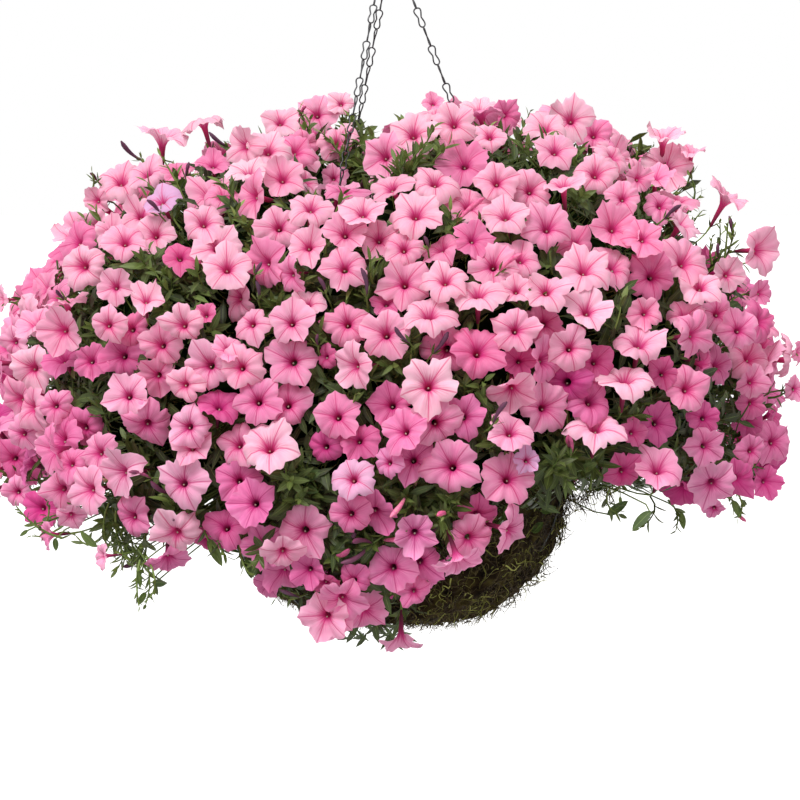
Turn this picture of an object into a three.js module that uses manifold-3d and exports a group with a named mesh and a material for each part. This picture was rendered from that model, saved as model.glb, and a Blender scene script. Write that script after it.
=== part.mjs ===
import * as THREE from 'three';
import { mergeVertices } from 'three/addons/utils/BufferGeometryUtils.js';
import Module from 'manifold-3d';

// A petunia hanging basket: three plants in a moss lined wire basket, hung by three chains.
// Millimetres, +Z up, +X to the right of the front view. The origin is the point on the
// hook that bears on its bracket.

// Driving dimensions
const hangDrop = 583; // hook's bearing point down to the rim wire
const rimRadius = 203; // centre line of the rim wire, a 16 inch basket
const bowlDepth = 197; // rim wire down to the underside of the moss
const mossThickness = 18;
const soilBelowRim = 20;
const foliageTop = 314; // crown of the leaves above the rim
const foliageRadius = 388; // widest part of the leaves
const skirtDrop = 80; // lowest leaves below the rim on an even skirt
const skirtDrawIn = 0.16; // how far a longer skirt leans in towards the bowl
const undersideDrop = 60; // leaves' underside below the rim, near the bowl
const bloomHeight = 42; // a flower's face above the leaves that it stands on
const bloomRadius = 26;
const petalThickness = 1.2;
const lobeCount = 5;
const lobeDepth = 0.09; // how far the lobes stand out of a round outline
const touchGap = 0.3; // left between two pieces that touch

const rimWire = 2.5; // wire radii
const hoopWire = 1.5;
const ribWire = 1.6;
const linkWire = 0.8;
const ringWire = 1.75;
const hookWire = 2.5;
const rimHookWire = 1.1;

const hookInnerRadius = 12; // round the bracket's bar
const hookEyeRadius = 7;
const ringRadius = 12;
const ringDrop = 75; // bearing point down to the lowest wire of the gather ring
const linkPitch = 21;
const linkHalfWidth = 7.1; // before the waist is drawn in
const linkWaist = 0.25; // width at the waist against the loops
const linkBite = 0.3; // how far two hooked links press together
const rimHookRadius = rimWire + touchGap + rimHookWire;
const rimHookLength = 12; // between the centres of its two bends

const hoopPlaces = { upper_hoop: 0.3, lower_hoop: 0.55, base_ring: 0.8 }; // share of the liner's outline
const ribPlaces = [0.2, 0.3, 0.4, 0.5, 0.6, 0.7, 0.8, 0.87];
const ribCount = 9;
const turnSteps = 36; // flat sides in one turn of a round piece
const chainGap = 12; // foliage stays this far from each chain's plane
const crownRadius = 232; // the crown ends and the trailing stems begin here
const crownLift = 12; // crown clears the rim wire by this height
const trailGap = 0.2; // half the gap between neighbouring trails
const trailsPerPlant = 4;
const crownNeck = 172; // crown's radius where it goes down inside the rim
const footDistance = 95; // from the axis to the woody foot of each plant
const trunkHeight = 40;
const trunkRadius = 8;
const stemLength = 110;
const stemRadius = 3.5;
const leafLength = 31;
const leafHalfWidth = 7;
const leafTilt = 35; // a leaf's angle above level, in degrees
const leafTurn = 150; // from each leaf to the next one up the shoot
const aimHeight = 40; // on the axis over the rim, where the flowers' directions start

const chains = [
  { name: 'right', azimuth: 0, ringX: 5.6 },
  { name: 'rear', azimuth: 120, ringX: 0.9 },
  { name: 'front', azimuth: 240, ringX: -6.5 },
];
const plants = [
  { name: 'back', azimuth: 0 },
  { name: 'left', azimuth: 120 },
  { name: 'front', azimuth: 240 },
];

// Each foot's stems: turned from the plant's own azimuth, and leaning from upright
const stems = [
  [0, 50],
  [72, 35],
  [144, 25],
  [216, 25],
  [288, 35],
];

// The leaves' outline over the rim, in shares of foliageRadius and foliageTop
const domeOutline = [
  [1, 0.08],
  [0.985, 0.35],
  [0.93, 0.56],
  [0.82, 0.73],
  [0.66, 0.86],
  [0.42, 0.955],
  [0, 1],
];

// Lowest leaves below the rim, by azimuth in degrees: 0 is right, 270 faces the viewer
const skirt = [
  [0, 50],
  [30, 70],
  [60, 90],
  [90, 105],
  [120, 100],
  [150, 80],
  [180, 52],
  [205, 62],
  [228, 64],
  [246, 84],
  [258, 125],
  [270, 135],
  [281, 78],
  [292, 46],
  [306, 16],
  [330, 42],
  [360, 50],
];

// Flowers that stand at the edges of the mass, by the way they face: azimuth and height angle
const blooms = [
  ['right', 350, 6],
  ['front_right', 315, 12],
  ['front', 276, 2],
  ['front_low', 263, -22],
  ['front_left', 220, -4],
  ['left', 184, 5],
  ['back_left', 140, 14],
  ['back', 92, 4],
  ['back_right', 45, 2],
  ['top_front', 286, 58],
  ['top_left', 168, 52],
  ['top_back', 66, 56],
];
const shoots = [
  ['left', 196, -10],
  ['front', 251, -16],
  ['back', 108, -16],
  ['top', 20, 66],
];

const wasm = await Module();
wasm.setup();

const material = {
  blackWire: new THREE.MeshStandardMaterial({ color: 0x26282a, roughness: 0.45, metalness: 0.7 }),
  basketWire: new THREE.MeshStandardMaterial({ color: 0x1f2421, roughness: 0.6, metalness: 0.4 }),
  moss: new THREE.MeshStandardMaterial({ color: 0x2f2a1a, roughness: 0.95, metalness: 0 }),
  soil: new THREE.MeshStandardMaterial({ color: 0x2a1d14, roughness: 0.95, metalness: 0 }),
  stem: new THREE.MeshStandardMaterial({ color: 0x5c7038, roughness: 0.8, metalness: 0 }),
  foliage: new THREE.MeshStandardMaterial({ color: 0x3f6b33, roughness: 0.75, metalness: 0 }),
  petals: new THREE.MeshStandardMaterial({ color: 0xe58bb4, roughness: 0.7, metalness: 0 }),
};

const radians = THREE.MathUtils.degToRad;

function around(azimuth, radius, z) {
  return new THREE.Vector3(radius * Math.cos(azimuth), radius * Math.sin(azimuth), z);
}

function toSolid(geometry) {
  const bare = geometry.clone();
  bare.deleteAttribute('normal');
  bare.deleteAttribute('uv');
  const merged = mergeVertices(bare, 1e-3);
  return new wasm.Manifold(
    new wasm.Mesh({
      numProp: 3,
      vertProperties: new Float32Array(merged.attributes.position.array),
      triVerts: new Uint32Array(merged.index.array),
    }),
  );
}

function toGeometry(solid) {
  const mesh = solid.getMesh();
  const geometry = new THREE.BufferGeometry();
  geometry.setAttribute('position', new THREE.BufferAttribute(mesh.vertProperties, 3));
  geometry.setIndex(new THREE.BufferAttribute(mesh.triVerts, 1));
  geometry.computeVertexNormals();
  return geometry;
}

// A round solid from [radius, height] pairs, listed from the bottom up
function turned(profile) {
  const points = profile.map(([radius, height]) => new THREE.Vector2(radius, height));
  const geometry = new THREE.LatheGeometry(points, turnSteps);
  geometry.rotateX(Math.PI / 2);
  return geometry;
}

// A wire of even thickness along a curve
function wireAlong(curve, radius, sides, steps) {
  const section = new THREE.Shape();
  for (let i = 0; i < sides; i++) {
    const turn = (2 * Math.PI * i) / sides;
    const x = radius * Math.cos(turn);
    const y = radius * Math.sin(turn);
    if (i === 0) section.moveTo(x, y);
    else section.lineTo(x, y);
  }
  section.closePath();
  return new THREE.ExtrudeGeometry(section, { steps, bevelEnabled: false, extrudePath: curve });
}

function arc(centreA, centreB, radius, fromDegrees, toDegrees, count) {
  const points = [];
  for (let i = 0; i <= count; i++) {
    const turn = radians(fromDegrees + ((toDegrees - fromDegrees) * i) / count);
    points.push([centreA + radius * Math.cos(turn), centreB + radius * Math.sin(turn)]);
  }
  return points;
}

const group = new THREE.Group();

function add(name, geometry, look) {
  const mesh = new THREE.Mesh(geometry, look);
  mesh.name = name;
  group.add(mesh);
  return mesh;
}

// Everything from the rim down is laid out from the rim's own height
const basket = new THREE.Group();
basket.position.z = -hangDrop;
group.add(basket);

function addToBasket(name, geometry, look) {
  const mesh = add(name, geometry, look);
  basket.add(mesh);
  return mesh;
}

// Hook: an open bend over the bracket and an eye below it, in one plane
function hook() {
  const bendRadius = hookInnerRadius + hookWire;
  const eyeCentre = -(ringDrop - 2 * ringRadius) - ringWire - touchGap - hookWire + hookEyeRadius;
  const outline = [
    ...arc(0, -hookInnerRadius, bendRadius, 215, -30, 9),
    [6, -hookInnerRadius - bendRadius - 4],
    ...arc(0, eyeCentre, hookEyeRadius, 40, -210, 9),
  ];
  const curve = new THREE.CatmullRomCurve3(outline.map(([y, z]) => new THREE.Vector3(0, y, z)));
  return wireAlong(curve, hookWire, 6, 30);
}

function gatherRing() {
  const geometry = new THREE.TorusGeometry(ringRadius, ringWire, 6, 24);
  geometry.rotateX(Math.PI / 2);
  geometry.translate(0, 0, ringRadius - ringDrop);
  return geometry;
}

// One wire link, drawn in at its waist: a ring whose centre line is bent to an hourglass
function chainLink(length) {
  const steps = 10;
  const geometry = new THREE.TorusGeometry(1, linkWire, 4, steps);
  const position = geometry.attributes.position;
  const halfLength = length / 2 / Math.sin(0.4 * Math.PI);
  const centre = (turn) => [
    linkHalfWidth * Math.cos(turn) * (linkWaist + (1 - linkWaist) * Math.abs(Math.sin(turn))),
    halfLength * Math.sin(turn),
  ];
  for (let i = 0; i < position.count; i++) {
    const x = position.getX(i);
    const y = position.getY(i);
    const turn = Math.atan2(y, x);
    const outward = Math.hypot(x, y) - 1;
    const [cx, cy] = centre(turn);
    const before = centre(turn - Math.PI / steps);
    const after = centre(turn + Math.PI / steps);
    const along = new THREE.Vector2(after[0] - before[0], after[1] - before[1]).normalize();
    position.setXY(i, cx + outward * along.y, cy - outward * along.x);
  }
  return geometry;
}

// One chain and its hook on the rim, on the straight line from the ring to the rim wire
function hangChain({ name, azimuth, ringX }) {
  const ringHeight = ringRadius - ringDrop - Math.sqrt(ringRadius ** 2 - ringX ** 2);
  const top = new THREE.Vector3(ringX, 0, ringHeight);
  const foot = around(radians(azimuth), rimRadius, -hangDrop);
  const down = foot.clone().sub(top);
  const length = down.length();
  down.normalize();

  const start = ringWire + touchGap + linkWire;
  const end = rimHookLength + rimHookRadius - rimHookWire - touchGap - linkWire;
  const bite = 2 * linkWire - linkBite;
  const count = Math.round((length + start - end - bite) / linkPitch);
  const pitch = (length + start - end - bite) / count;
  const link = chainLink(pitch + bite);

  const ringSide = new THREE.Vector3(0, 1, 0).addScaledVector(down, -down.y).normalize();
  const rimSide = new THREE.Vector3(-Math.sin(radians(azimuth)), Math.cos(radians(azimuth)), 0);
  const across = new THREE.Vector3().crossVectors(down, ringSide);
  const quarter = Math.PI / 2;
  const fullTwist = Math.atan2(rimSide.dot(across), rimSide.dot(ringSide)) - quarter * (count - 1);
  const twist = (fullTwist - Math.PI * Math.round(fullTwist / Math.PI)) / (count - 1);

  let chain = null;
  for (let i = 0; i < count; i++) {
    const turn = i * (quarter + twist);
    const wide = ringSide.clone().multiplyScalar(Math.cos(turn)).addScaledVector(across, Math.sin(turn));
    const up = down.clone().negate();
    const frame = new THREE.Matrix4().makeBasis(wide, up, new THREE.Vector3().crossVectors(wide, up));
    const centre = top.clone().addScaledVector(down, pitch * (i + 0.5) + bite / 2 - start);
    frame.setPosition(centre);
    const solid = toSolid(link.clone().applyMatrix4(frame));
    chain = chain ? chain.add(solid) : solid;
  }
  add(`chain_${name}`, toGeometry(chain), material.blackWire);

  // The rim hook: a bend round the rim wire and a bend round the last link, open on one side
  const outward = new THREE.Vector3().crossVectors(rimSide, down).normalize();
  const outline = [
    ...arc(0, 0, rimHookRadius, 130, 360, 8),
    ...arc(0, rimHookLength, rimHookRadius, 0, 230, 8),
  ];
  const points = outline.map(([side, up]) => {
    return foot.clone().addScaledVector(outward, side).addScaledVector(down, -up);
  });
  const curve = new THREE.CatmullRomCurve3(points);
  add(`rim_hook_${name}`, wireAlong(curve, rimHookWire, 5, 20), material.blackWire);
}

// The moss liner's outer face, from its top edge down to the middle of its base
const linerCurve = new THREE.SplineCurve([
  new THREE.Vector2(192, 6),
  new THREE.Vector2(190, -50),
  new THREE.Vector2(177, -98),
  new THREE.Vector2(150, -142),
  new THREE.Vector2(118, -175),
  new THREE.Vector2(72, 2 - bowlDepth),
  new THREE.Vector2(0, -bowlDepth),
]);

function linerFace(t, offset) {
  const point = linerCurve.getPoint(t);
  const along = linerCurve.getTangent(t);
  return [Math.max(0, point.x - along.y * offset), point.y + along.x * offset];
}

function linerProfile(offset, steps) {
  const profile = [];
  for (let i = 0; i < steps; i++) profile.push(linerFace(i / steps, offset));
  const bottom = linerFace(1, offset);
  profile.push([0, bottom[1]]);
  return profile.reverse();
}

function mossLiner() {
  const outer = linerProfile(0, 9);
  const inner = linerProfile(-mossThickness, 9).reverse();
  inner[0] = [inner[0][0], outer[outer.length - 1][1]];
  return turned([...outer, ...inner]);
}

function pottingSoil() {
  const wall = linerProfile(-mossThickness - 2 * touchGap, 9);
  const below = wall.filter(([, height]) => height < -soilBelowRim);
  const above = wall.find(([, height]) => height >= -soilBelowRim);
  return turned([...below, [above[0], -soilBelowRim], [0, -soilBelowRim]]);
}

function hoop(place) {
  const [radius, height] = linerFace(place, hoopWire + 2 * touchGap);
  const geometry = new THREE.TorusGeometry(radius, hoopWire, 4, turnSteps);
  geometry.translate(0, 0, height);
  return geometry;
}

function rib(azimuth) {
  const offset = 2 * touchGap + 2 * hoopWire + touchGap + ribWire;
  const points = [around(azimuth, rimRadius, -rimWire - touchGap)];
  for (const place of ribPlaces) {
    const [radius, height] = linerFace(place, offset);
    points.push(around(azimuth, radius, height));
  }
  return wireAlong(new THREE.CatmullRomCurve3(points), ribWire, 4, 11);
}

// Height of the skirt at an azimuth, eased between the listed places
function skirtAt(azimuth) {
  const degrees = (THREE.MathUtils.radToDeg(azimuth) + 720) % 360;
  const next = skirt.findIndex(([place]) => place > degrees);
  const [fromPlace, fromDrop] = skirt[next - 1];
  const [toPlace, toDrop] = skirt[next];
  const part = THREE.MathUtils.smoothstep(degrees, fromPlace, toPlace);
  return fromDrop + (toDrop - fromDrop) * part;
}

// The leaves of all three plants: a broad dome over the rim with an uneven skirt round the bowl
function plantMass() {
  const wide = foliageRadius;
  const dome = new THREE.SplineCurve([
    new THREE.Vector2(wide * 0.93, -skirtDrop),
    new THREE.Vector2(wide * 0.98, -0.62 * skirtDrop),
    ...domeOutline.map(([out, up]) => new THREE.Vector2(wide * out, foliageTop * up)),
  ]);
  const profile = [
    [0, -undersideDrop],
    [wide * 0.3, -undersideDrop],
    [wide * 0.66, -skirtDrop],
    ...dome.getPoints(15).map((point) => [Math.max(0, point.x), point.y]),
  ];
  profile[profile.length - 1][0] = 0;
  const geometry = turned(profile);
  const position = geometry.attributes.position;
  for (let i = 0; i < position.count; i++) {
    const x = position.getX(i);
    const y = position.getY(i);
    const z = position.getZ(i);
    if (z < 0) {
      const away = THREE.MathUtils.smoothstep(Math.hypot(x, y), wide * 0.35, wide * 0.6);
      const stretch = skirtAt(Math.atan2(y, x)) / skirtDrop - 1;
      const drawIn = 1 + skirtDrawIn * away * Math.max(0, stretch) * (z / skirtDrop);
      position.setXYZ(i, x * drawIn, y * drawIn, z * (1 + away * stretch));
    }
  }
  return toSolid(geometry);
}

// All that lies between two upright planes, each set in from the axis by a gap
function wedge(fromAzimuth, toAzimuth, gap) {
  const middle = (fromAzimuth + toAzimuth) / 2;
  const set = gap / Math.sin((toAzimuth - fromAzimuth) / 2);
  const reach = 3 * foliageRadius;
  const corner = (azimuth, distance) => [
    set * Math.cos(middle) + distance * Math.cos(azimuth),
    set * Math.sin(middle) + distance * Math.sin(azimuth),
  ];
  const shape = new THREE.Shape();
  shape.moveTo(...corner(middle, 0));
  shape.lineTo(...corner(fromAzimuth, reach));
  shape.lineTo(...corner(middle, reach));
  shape.lineTo(...corner(toAzimuth, reach));
  shape.closePath();
  const geometry = new THREE.ExtrudeGeometry(shape, { depth: 4 * foliageTop, bevelEnabled: false });
  geometry.translate(0, 0, -2 * foliageTop);
  return toSolid(geometry);
}

// The woody foot of one plant and its first shoots; extra makes the space that it stands in
function stemFoot(azimuth, extra) {
  const seat = around(azimuth, footDistance, -soilBelowRim + touchGap - extra);
  const tall = trunkHeight + 2 * extra;
  const trunk = new THREE.CylinderGeometry(0.625 * trunkRadius + extra, trunkRadius + extra, tall, 8);
  trunk.rotateX(Math.PI / 2);
  trunk.translate(seat.x, seat.y, seat.z + trunkHeight / 2 + extra);
  let foot = toSolid(trunk);
  for (const [turn, lean] of stems) {
    const long = stemLength + extra;
    const stem = new THREE.CylinderGeometry(0.57 * stemRadius + extra, stemRadius + extra, long, 6);
    stem.translate(0, long / 2, 0);
    stem.rotateX(Math.PI / 2);
    stem.rotateY(radians(lean));
    stem.rotateZ(azimuth + radians(turn));
    stem.translate(seat.x, seat.y, seat.z + extra + 0.7 * trunkHeight);
    foot = foot.add(toSolid(stem));
  }
  return foot;
}

function growPlant({ name, azimuth }, mass) {
  const from = radians(azimuth);
  const to = radians(azimuth + 120);
  const ownPart = mass.intersect(wedge(from, to, chainGap));

  const middle = (from + to) / 2;
  addToBasket(`${name}_plant_stem_foot`, toGeometry(stemFoot(middle, 0)), material.stem);

  const ceiling = 2 * foliageTop;
  const crownSpace = toSolid(
    turned([
      [0, touchGap - soilBelowRim],
      [crownNeck, touchGap - soilBelowRim],
      [crownNeck, crownLift],
      [crownRadius, crownLift],
      [crownRadius, ceiling],
      [0, ceiling],
    ]),
  );
  const crown = ownPart.intersect(crownSpace).subtract(stemFoot(middle, touchGap));
  addToBasket(`${name}_plant_crown`, toGeometry(crown), material.foliage);

  const inside = crownRadius + touchGap;
  const trailSpace = toSolid(
    turned([
      [inside, -ceiling],
      [3 * foliageRadius, -ceiling],
      [3 * foliageRadius, ceiling],
      [inside, ceiling],
      [inside, -ceiling],
    ]),
  );
  const skirtPart = ownPart.intersect(trailSpace);
  const share = (to - from) / trailsPerPlant;
  for (let i = 0; i < trailsPerPlant; i++) {
    const trail = skirtPart.intersect(wedge(from + i * share, from + (i + 1) * share, trailGap));
    addToBasket(`${name}_plant_trail_${i + 1}`, toGeometry(trail), material.foliage);
  }
}

// One flower, its tube on +Z: five lobes round a funnel, closed at the foot of the tube
function bloom() {
  const outside = [
    [0, 0],
    [2.6, 0],
    [3.2, 0.55 * bloomHeight],
    [8, 0.75 * bloomHeight],
    [0.62 * bloomRadius, 0.9 * bloomHeight],
    [bloomRadius, bloomHeight - petalThickness],
  ];
  const inside = [
    [bloomRadius, bloomHeight],
    [0.6 * bloomRadius, 0.9 * bloomHeight + petalThickness],
    [7, 0.75 * bloomHeight + petalThickness],
    [2, 0.55 * bloomHeight],
    [0, 0.3 * bloomHeight],
  ];
  const points = [...outside, ...inside].map(([radius, height]) => new THREE.Vector2(radius, height));
  const geometry = new THREE.LatheGeometry(points, 2 * lobeCount);
  geometry.rotateX(Math.PI / 2);
  const position = geometry.attributes.position;
  for (let i = 0; i < position.count; i++) {
    const x = position.getX(i);
    const y = position.getY(i);
    const rim = THREE.MathUtils.smoothstep(Math.hypot(x, y), 8, bloomRadius);
    const lobe = 1 + lobeDepth * rim * Math.cos(lobeCount * Math.atan2(x, y));
    position.setXY(i, x * lobe, y * lobe);
  }
  return geometry;
}

// A leafy shoot along +Z: one stem with pairs of leaves that get smaller to the tip
function leafyShoot() {
  const stem = new THREE.CylinderGeometry(1, 1.6, bloomHeight, 6);
  stem.rotateX(Math.PI / 2);
  stem.translate(0, 0, bloomHeight / 2);
  let shoot = toSolid(stem);
  const leafCount = 6;
  for (let i = 0; i < leafCount; i++) {
    const size = 1 - (0.45 * i) / leafCount;
    const long = leafLength * size;
    const half = leafHalfWidth * size;
    const outline = new THREE.Shape();
    outline.moveTo(0, -1);
    outline.lineTo(0.4 * long, -half);
    outline.lineTo(0.7 * long, -0.85 * half);
    outline.lineTo(long, 0);
    outline.lineTo(0.7 * long, 0.85 * half);
    outline.lineTo(0.4 * long, half);
    outline.lineTo(0, 1);
    outline.closePath();
    const leaf = new THREE.ExtrudeGeometry(outline, { depth: 1, bevelEnabled: false });
    leaf.rotateY(radians(-leafTilt));
    leaf.rotateZ(radians(leafTurn * i));
    leaf.translate(0, 0, 5 + ((bloomHeight - 8) * i) / leafCount);
    shoot = shoot.add(toSolid(leaf));
  }
  return toGeometry(shoot);
}

// Stands a piece on the foliage, square to the face that the given direction meets
function standOnFoliage(name, geometry, azimuth, heightAngle, foliage, look) {
  const centre = new THREE.Vector3(0, 0, aimHeight);
  const level = Math.cos(radians(heightAngle));
  const facing = around(radians(azimuth), level, Math.sin(radians(heightAngle)));
  const outside = centre.addScaledVector(facing, 3 * foliageRadius);
  const [hit] = new THREE.Raycaster(outside, facing.negate()).intersectObject(foliage);
  const piece = addToBasket(name, geometry, look);
  piece.position.copy(hit.point).addScaledVector(hit.face.normal, touchGap);
  piece.quaternion.setFromUnitVectors(new THREE.Vector3(0, 0, 1), hit.face.normal);
}

add('hanging_hook', hook(), material.blackWire);
add('gather_ring', gatherRing(), material.blackWire);
chains.forEach(hangChain);

addToBasket('rim_wire', new THREE.TorusGeometry(rimRadius, rimWire, 6, turnSteps), material.basketWire);
for (const [name, place] of Object.entries(hoopPlaces)) {
  addToBasket(name, hoop(place), material.basketWire);
}
for (let i = 0; i < ribCount; i++) {
  const number = String(i + 1).padStart(2, '0');
  const azimuth = (2 * Math.PI * (i + 0.5)) / ribCount;
  addToBasket(`rib_${number}`, rib(azimuth), material.basketWire);
}

addToBasket('moss_liner', mossLiner(), material.moss);
addToBasket('potting_soil', pottingSoil(), material.soil);

const mass = plantMass();
for (const plant of plants) growPlant(plant, mass);

const foliage = new THREE.Mesh(toGeometry(mass), material.foliage);
for (const [name, azimuth, heightAngle] of blooms) {
  standOnFoliage(`bloom_${name}`, bloom(), azimuth, heightAngle, foliage, material.petals);
}
for (const [name, azimuth, heightAngle] of shoots) {
  standOnFoliage(`leafy_shoot_${name}`, leafyShoot(), azimuth, heightAngle, foliage, material.foliage);
}

export default group;
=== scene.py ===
import math

import bpy
import numpy as np
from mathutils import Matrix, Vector
from mathutils.bvhtree import BVHTree


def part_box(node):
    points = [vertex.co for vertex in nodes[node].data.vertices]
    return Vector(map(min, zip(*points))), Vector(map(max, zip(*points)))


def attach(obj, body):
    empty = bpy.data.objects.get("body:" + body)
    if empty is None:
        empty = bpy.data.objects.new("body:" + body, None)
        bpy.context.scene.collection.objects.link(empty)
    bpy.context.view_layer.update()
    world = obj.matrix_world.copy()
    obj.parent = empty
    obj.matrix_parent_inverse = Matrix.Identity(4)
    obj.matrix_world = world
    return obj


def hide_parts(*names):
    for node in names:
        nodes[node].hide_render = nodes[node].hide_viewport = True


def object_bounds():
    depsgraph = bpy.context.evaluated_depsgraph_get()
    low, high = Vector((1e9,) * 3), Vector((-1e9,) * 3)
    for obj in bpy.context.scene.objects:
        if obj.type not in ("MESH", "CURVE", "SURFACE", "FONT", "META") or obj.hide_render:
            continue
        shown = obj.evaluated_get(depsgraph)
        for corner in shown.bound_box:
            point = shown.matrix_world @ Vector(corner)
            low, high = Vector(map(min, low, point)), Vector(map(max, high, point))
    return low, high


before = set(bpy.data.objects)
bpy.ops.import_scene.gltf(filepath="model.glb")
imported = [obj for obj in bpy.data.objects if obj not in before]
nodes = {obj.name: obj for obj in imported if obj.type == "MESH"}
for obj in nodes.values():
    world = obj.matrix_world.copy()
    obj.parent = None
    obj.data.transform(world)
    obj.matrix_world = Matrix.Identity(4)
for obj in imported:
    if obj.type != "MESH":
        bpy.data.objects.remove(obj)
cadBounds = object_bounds()
print("frame loaded")

rng = np.random.RandomState(11)
mm = 0.001
fullTurn = 2 * math.pi
rimLow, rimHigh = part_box("rim_wire")
rimHeight = (rimLow.z + rimHigh.z) / 2


# small vector tools, all on arrays of rows

def unit(v):
    return v / np.maximum(np.linalg.norm(v, axis=-1, keepdims=True), 1e-9)


def towards(azimuth, elevation):
    azimuth, elevation = np.broadcast_arrays(azimuth, elevation)
    level = np.cos(elevation)
    return np.stack([level * np.cos(azimuth), level * np.sin(azimuth), np.sin(elevation)], axis=-1)


def smooth(x, low, high):
    t = np.clip((x - low) / (high - low), 0, 1)
    return t * t * (3 - 2 * t)


# columns x, y, z with z along facing; roll turns x and y about it
def turnedFrames(facing, roll):
    z = unit(facing)
    helper = np.where(np.abs(z[:, 2:3]) > 0.95, np.array([[0.0, 1.0, 0.0]]), np.array([[0.0, 0.0, 1.0]]))
    x = unit(np.cross(helper, z))
    y = np.cross(z, x)
    c, s = np.cos(roll)[:, None], np.sin(roll)[:, None]
    return x * c + y * s, y * c - x * s, z


# the camera comes first, because the flowers seen in the picture are placed through it

cameraSettings = {
    "lens": 125,
    "sensor": 36,
    "distance": 3.0,
    "elevation": math.radians(6),
    "aim": (0.0108, 0.0, rimHeight + 0.0324),
    "clip": (0.05, 60),
}
pictureSide = 800  # the picture's width and height in pixels
cameraForward = np.array([0, math.cos(cameraSettings["elevation"]), -math.sin(cameraSettings["elevation"])])
cameraUp = np.array([0, math.sin(cameraSettings["elevation"]), math.cos(cameraSettings["elevation"])])
cameraPlace = np.array(cameraSettings["aim"]) - cameraForward * cameraSettings["distance"]
halfView = cameraSettings["sensor"] / 2 / cameraSettings["lens"]


def addCamera(settings):
    data = bpy.data.cameras.new("camera")
    data.lens = settings["lens"]
    data.sensor_width = settings["sensor"]
    data.clip_start, data.clip_end = settings["clip"]
    camera = bpy.data.objects.new("camera", data)
    bpy.context.scene.collection.objects.link(camera)
    camera.location = cameraPlace
    camera.rotation_euler = (math.pi / 2 - settings["elevation"], 0, 0)
    bpy.context.scene.camera = camera


addCamera(cameraSettings)


def pixelRays(px, py):
    x = (np.asarray(px, float) / pictureSide * 2 - 1) * halfView
    y = (1 - np.asarray(py, float) / pictureSide * 2) * halfView
    return unit(cameraForward + x[:, None] * np.array([1.0, 0, 0]) + y[:, None] * cameraUp)


def pixelOf(places):
    apart = places - cameraPlace
    depth = (apart @ cameraForward) * halfView
    return (apart[..., 0] / depth + 1) * pictureSide / 2, (1 - (apart @ cameraUp) / depth) * pictureSide / 2


# the place seen at a pixel, at that distance from the camera
def atDistance(px, py, distance):
    return cameraPlace + pixelRays(px, py) * np.asarray(distance)[:, None]


def insideOutline(px, py, outline):
    inside = np.zeros(np.shape(px), bool)
    for (x0, y0), (x1, y1) in zip(outline, outline[1:] + outline[:1]):
        crosses = (y0 > py) != (y1 > py)
        inside ^= crosses & (px < (x1 - x0) * (py - y0) / ((y1 - y0) or 1e-9) + x0)
    return inside


# outline in the picture that the flowers' middles keep within, from the left round the top
massOutline = [
    (-30, 372), (-4, 352), (14, 328), (22, 298), (48, 268), (70, 236), (85, 206), (100, 188),
    (125, 176), (150, 172), (190, 164), (215, 152), (235, 140), (255, 130), (280, 120), (300, 112),
    (328, 106), (345, 126), (370, 148), (400, 132), (430, 112), (470, 106), (498, 114), (508, 148),
    (530, 158), (540, 134), (560, 108), (590, 112), (610, 130), (640, 150), (660, 142), (682, 158),
    (688, 182), (682, 206), (688, 238), (706, 262), (738, 266), (755, 286), (765, 310), (770, 350),
    (775, 400), (780, 440), (775, 480), (745, 495), (715, 508), (690, 500), (650, 490), (600, 478),
    (575, 478), (560, 495), (545, 500), (530, 540), (500, 560), (470, 575), (440, 590), (415, 600),
    (410, 640), (380, 640), (345, 630), (315, 620), (300, 590), (280, 570), (250, 550), (230, 540),
    (200, 550), (160, 570), (140, 560), (120, 540), (95, 530), (70, 520), (40, 510), (10, 500),
    (-30, 490),
]


# the leaves' surface, read from the CAD plants and measured outwards from one point

surfaceCentre = np.array([0, 0, rimHeight + 0.04])
azimuthCount = 180
elevationCount = 91
dents = (
    {"azimuth": 188, "elevation": 40, "width": 30, "depth": 40 * mm},  # degrees
    {"azimuth": 355, "elevation": 39, "width": 16, "depth": 28 * mm},
    {"azimuth": 268, "elevation": 62, "width": 12, "depth": 10 * mm},
)
# the leaves part where the front chain comes down
valley = {
    "x": -52 * mm,
    "width": 30 * mm,
    "floor": 236 * mm,
    "front": (20 * mm, 60 * mm),  # it deepens between these, towards the viewer
    "rounds": 6,
    "step": 0.6,
}
# the slots that the CAD plants leave for the chains are closed, up to this half width
chainSlot = {"halfWidth": 0.016, "distance": 0.38, "atPoles": 0.02, "mostSteps": 60}
noLeaves = 0.05  # the surface's radius where there are none
smoothings = 2


def gridWays():
    azimuth = np.arange(azimuthCount) * fullTurn / azimuthCount
    elevation = math.pi * (np.arange(elevationCount) / (elevationCount - 1) - 0.5)
    return towards(azimuth[:, None], elevation[None, :])


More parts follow.
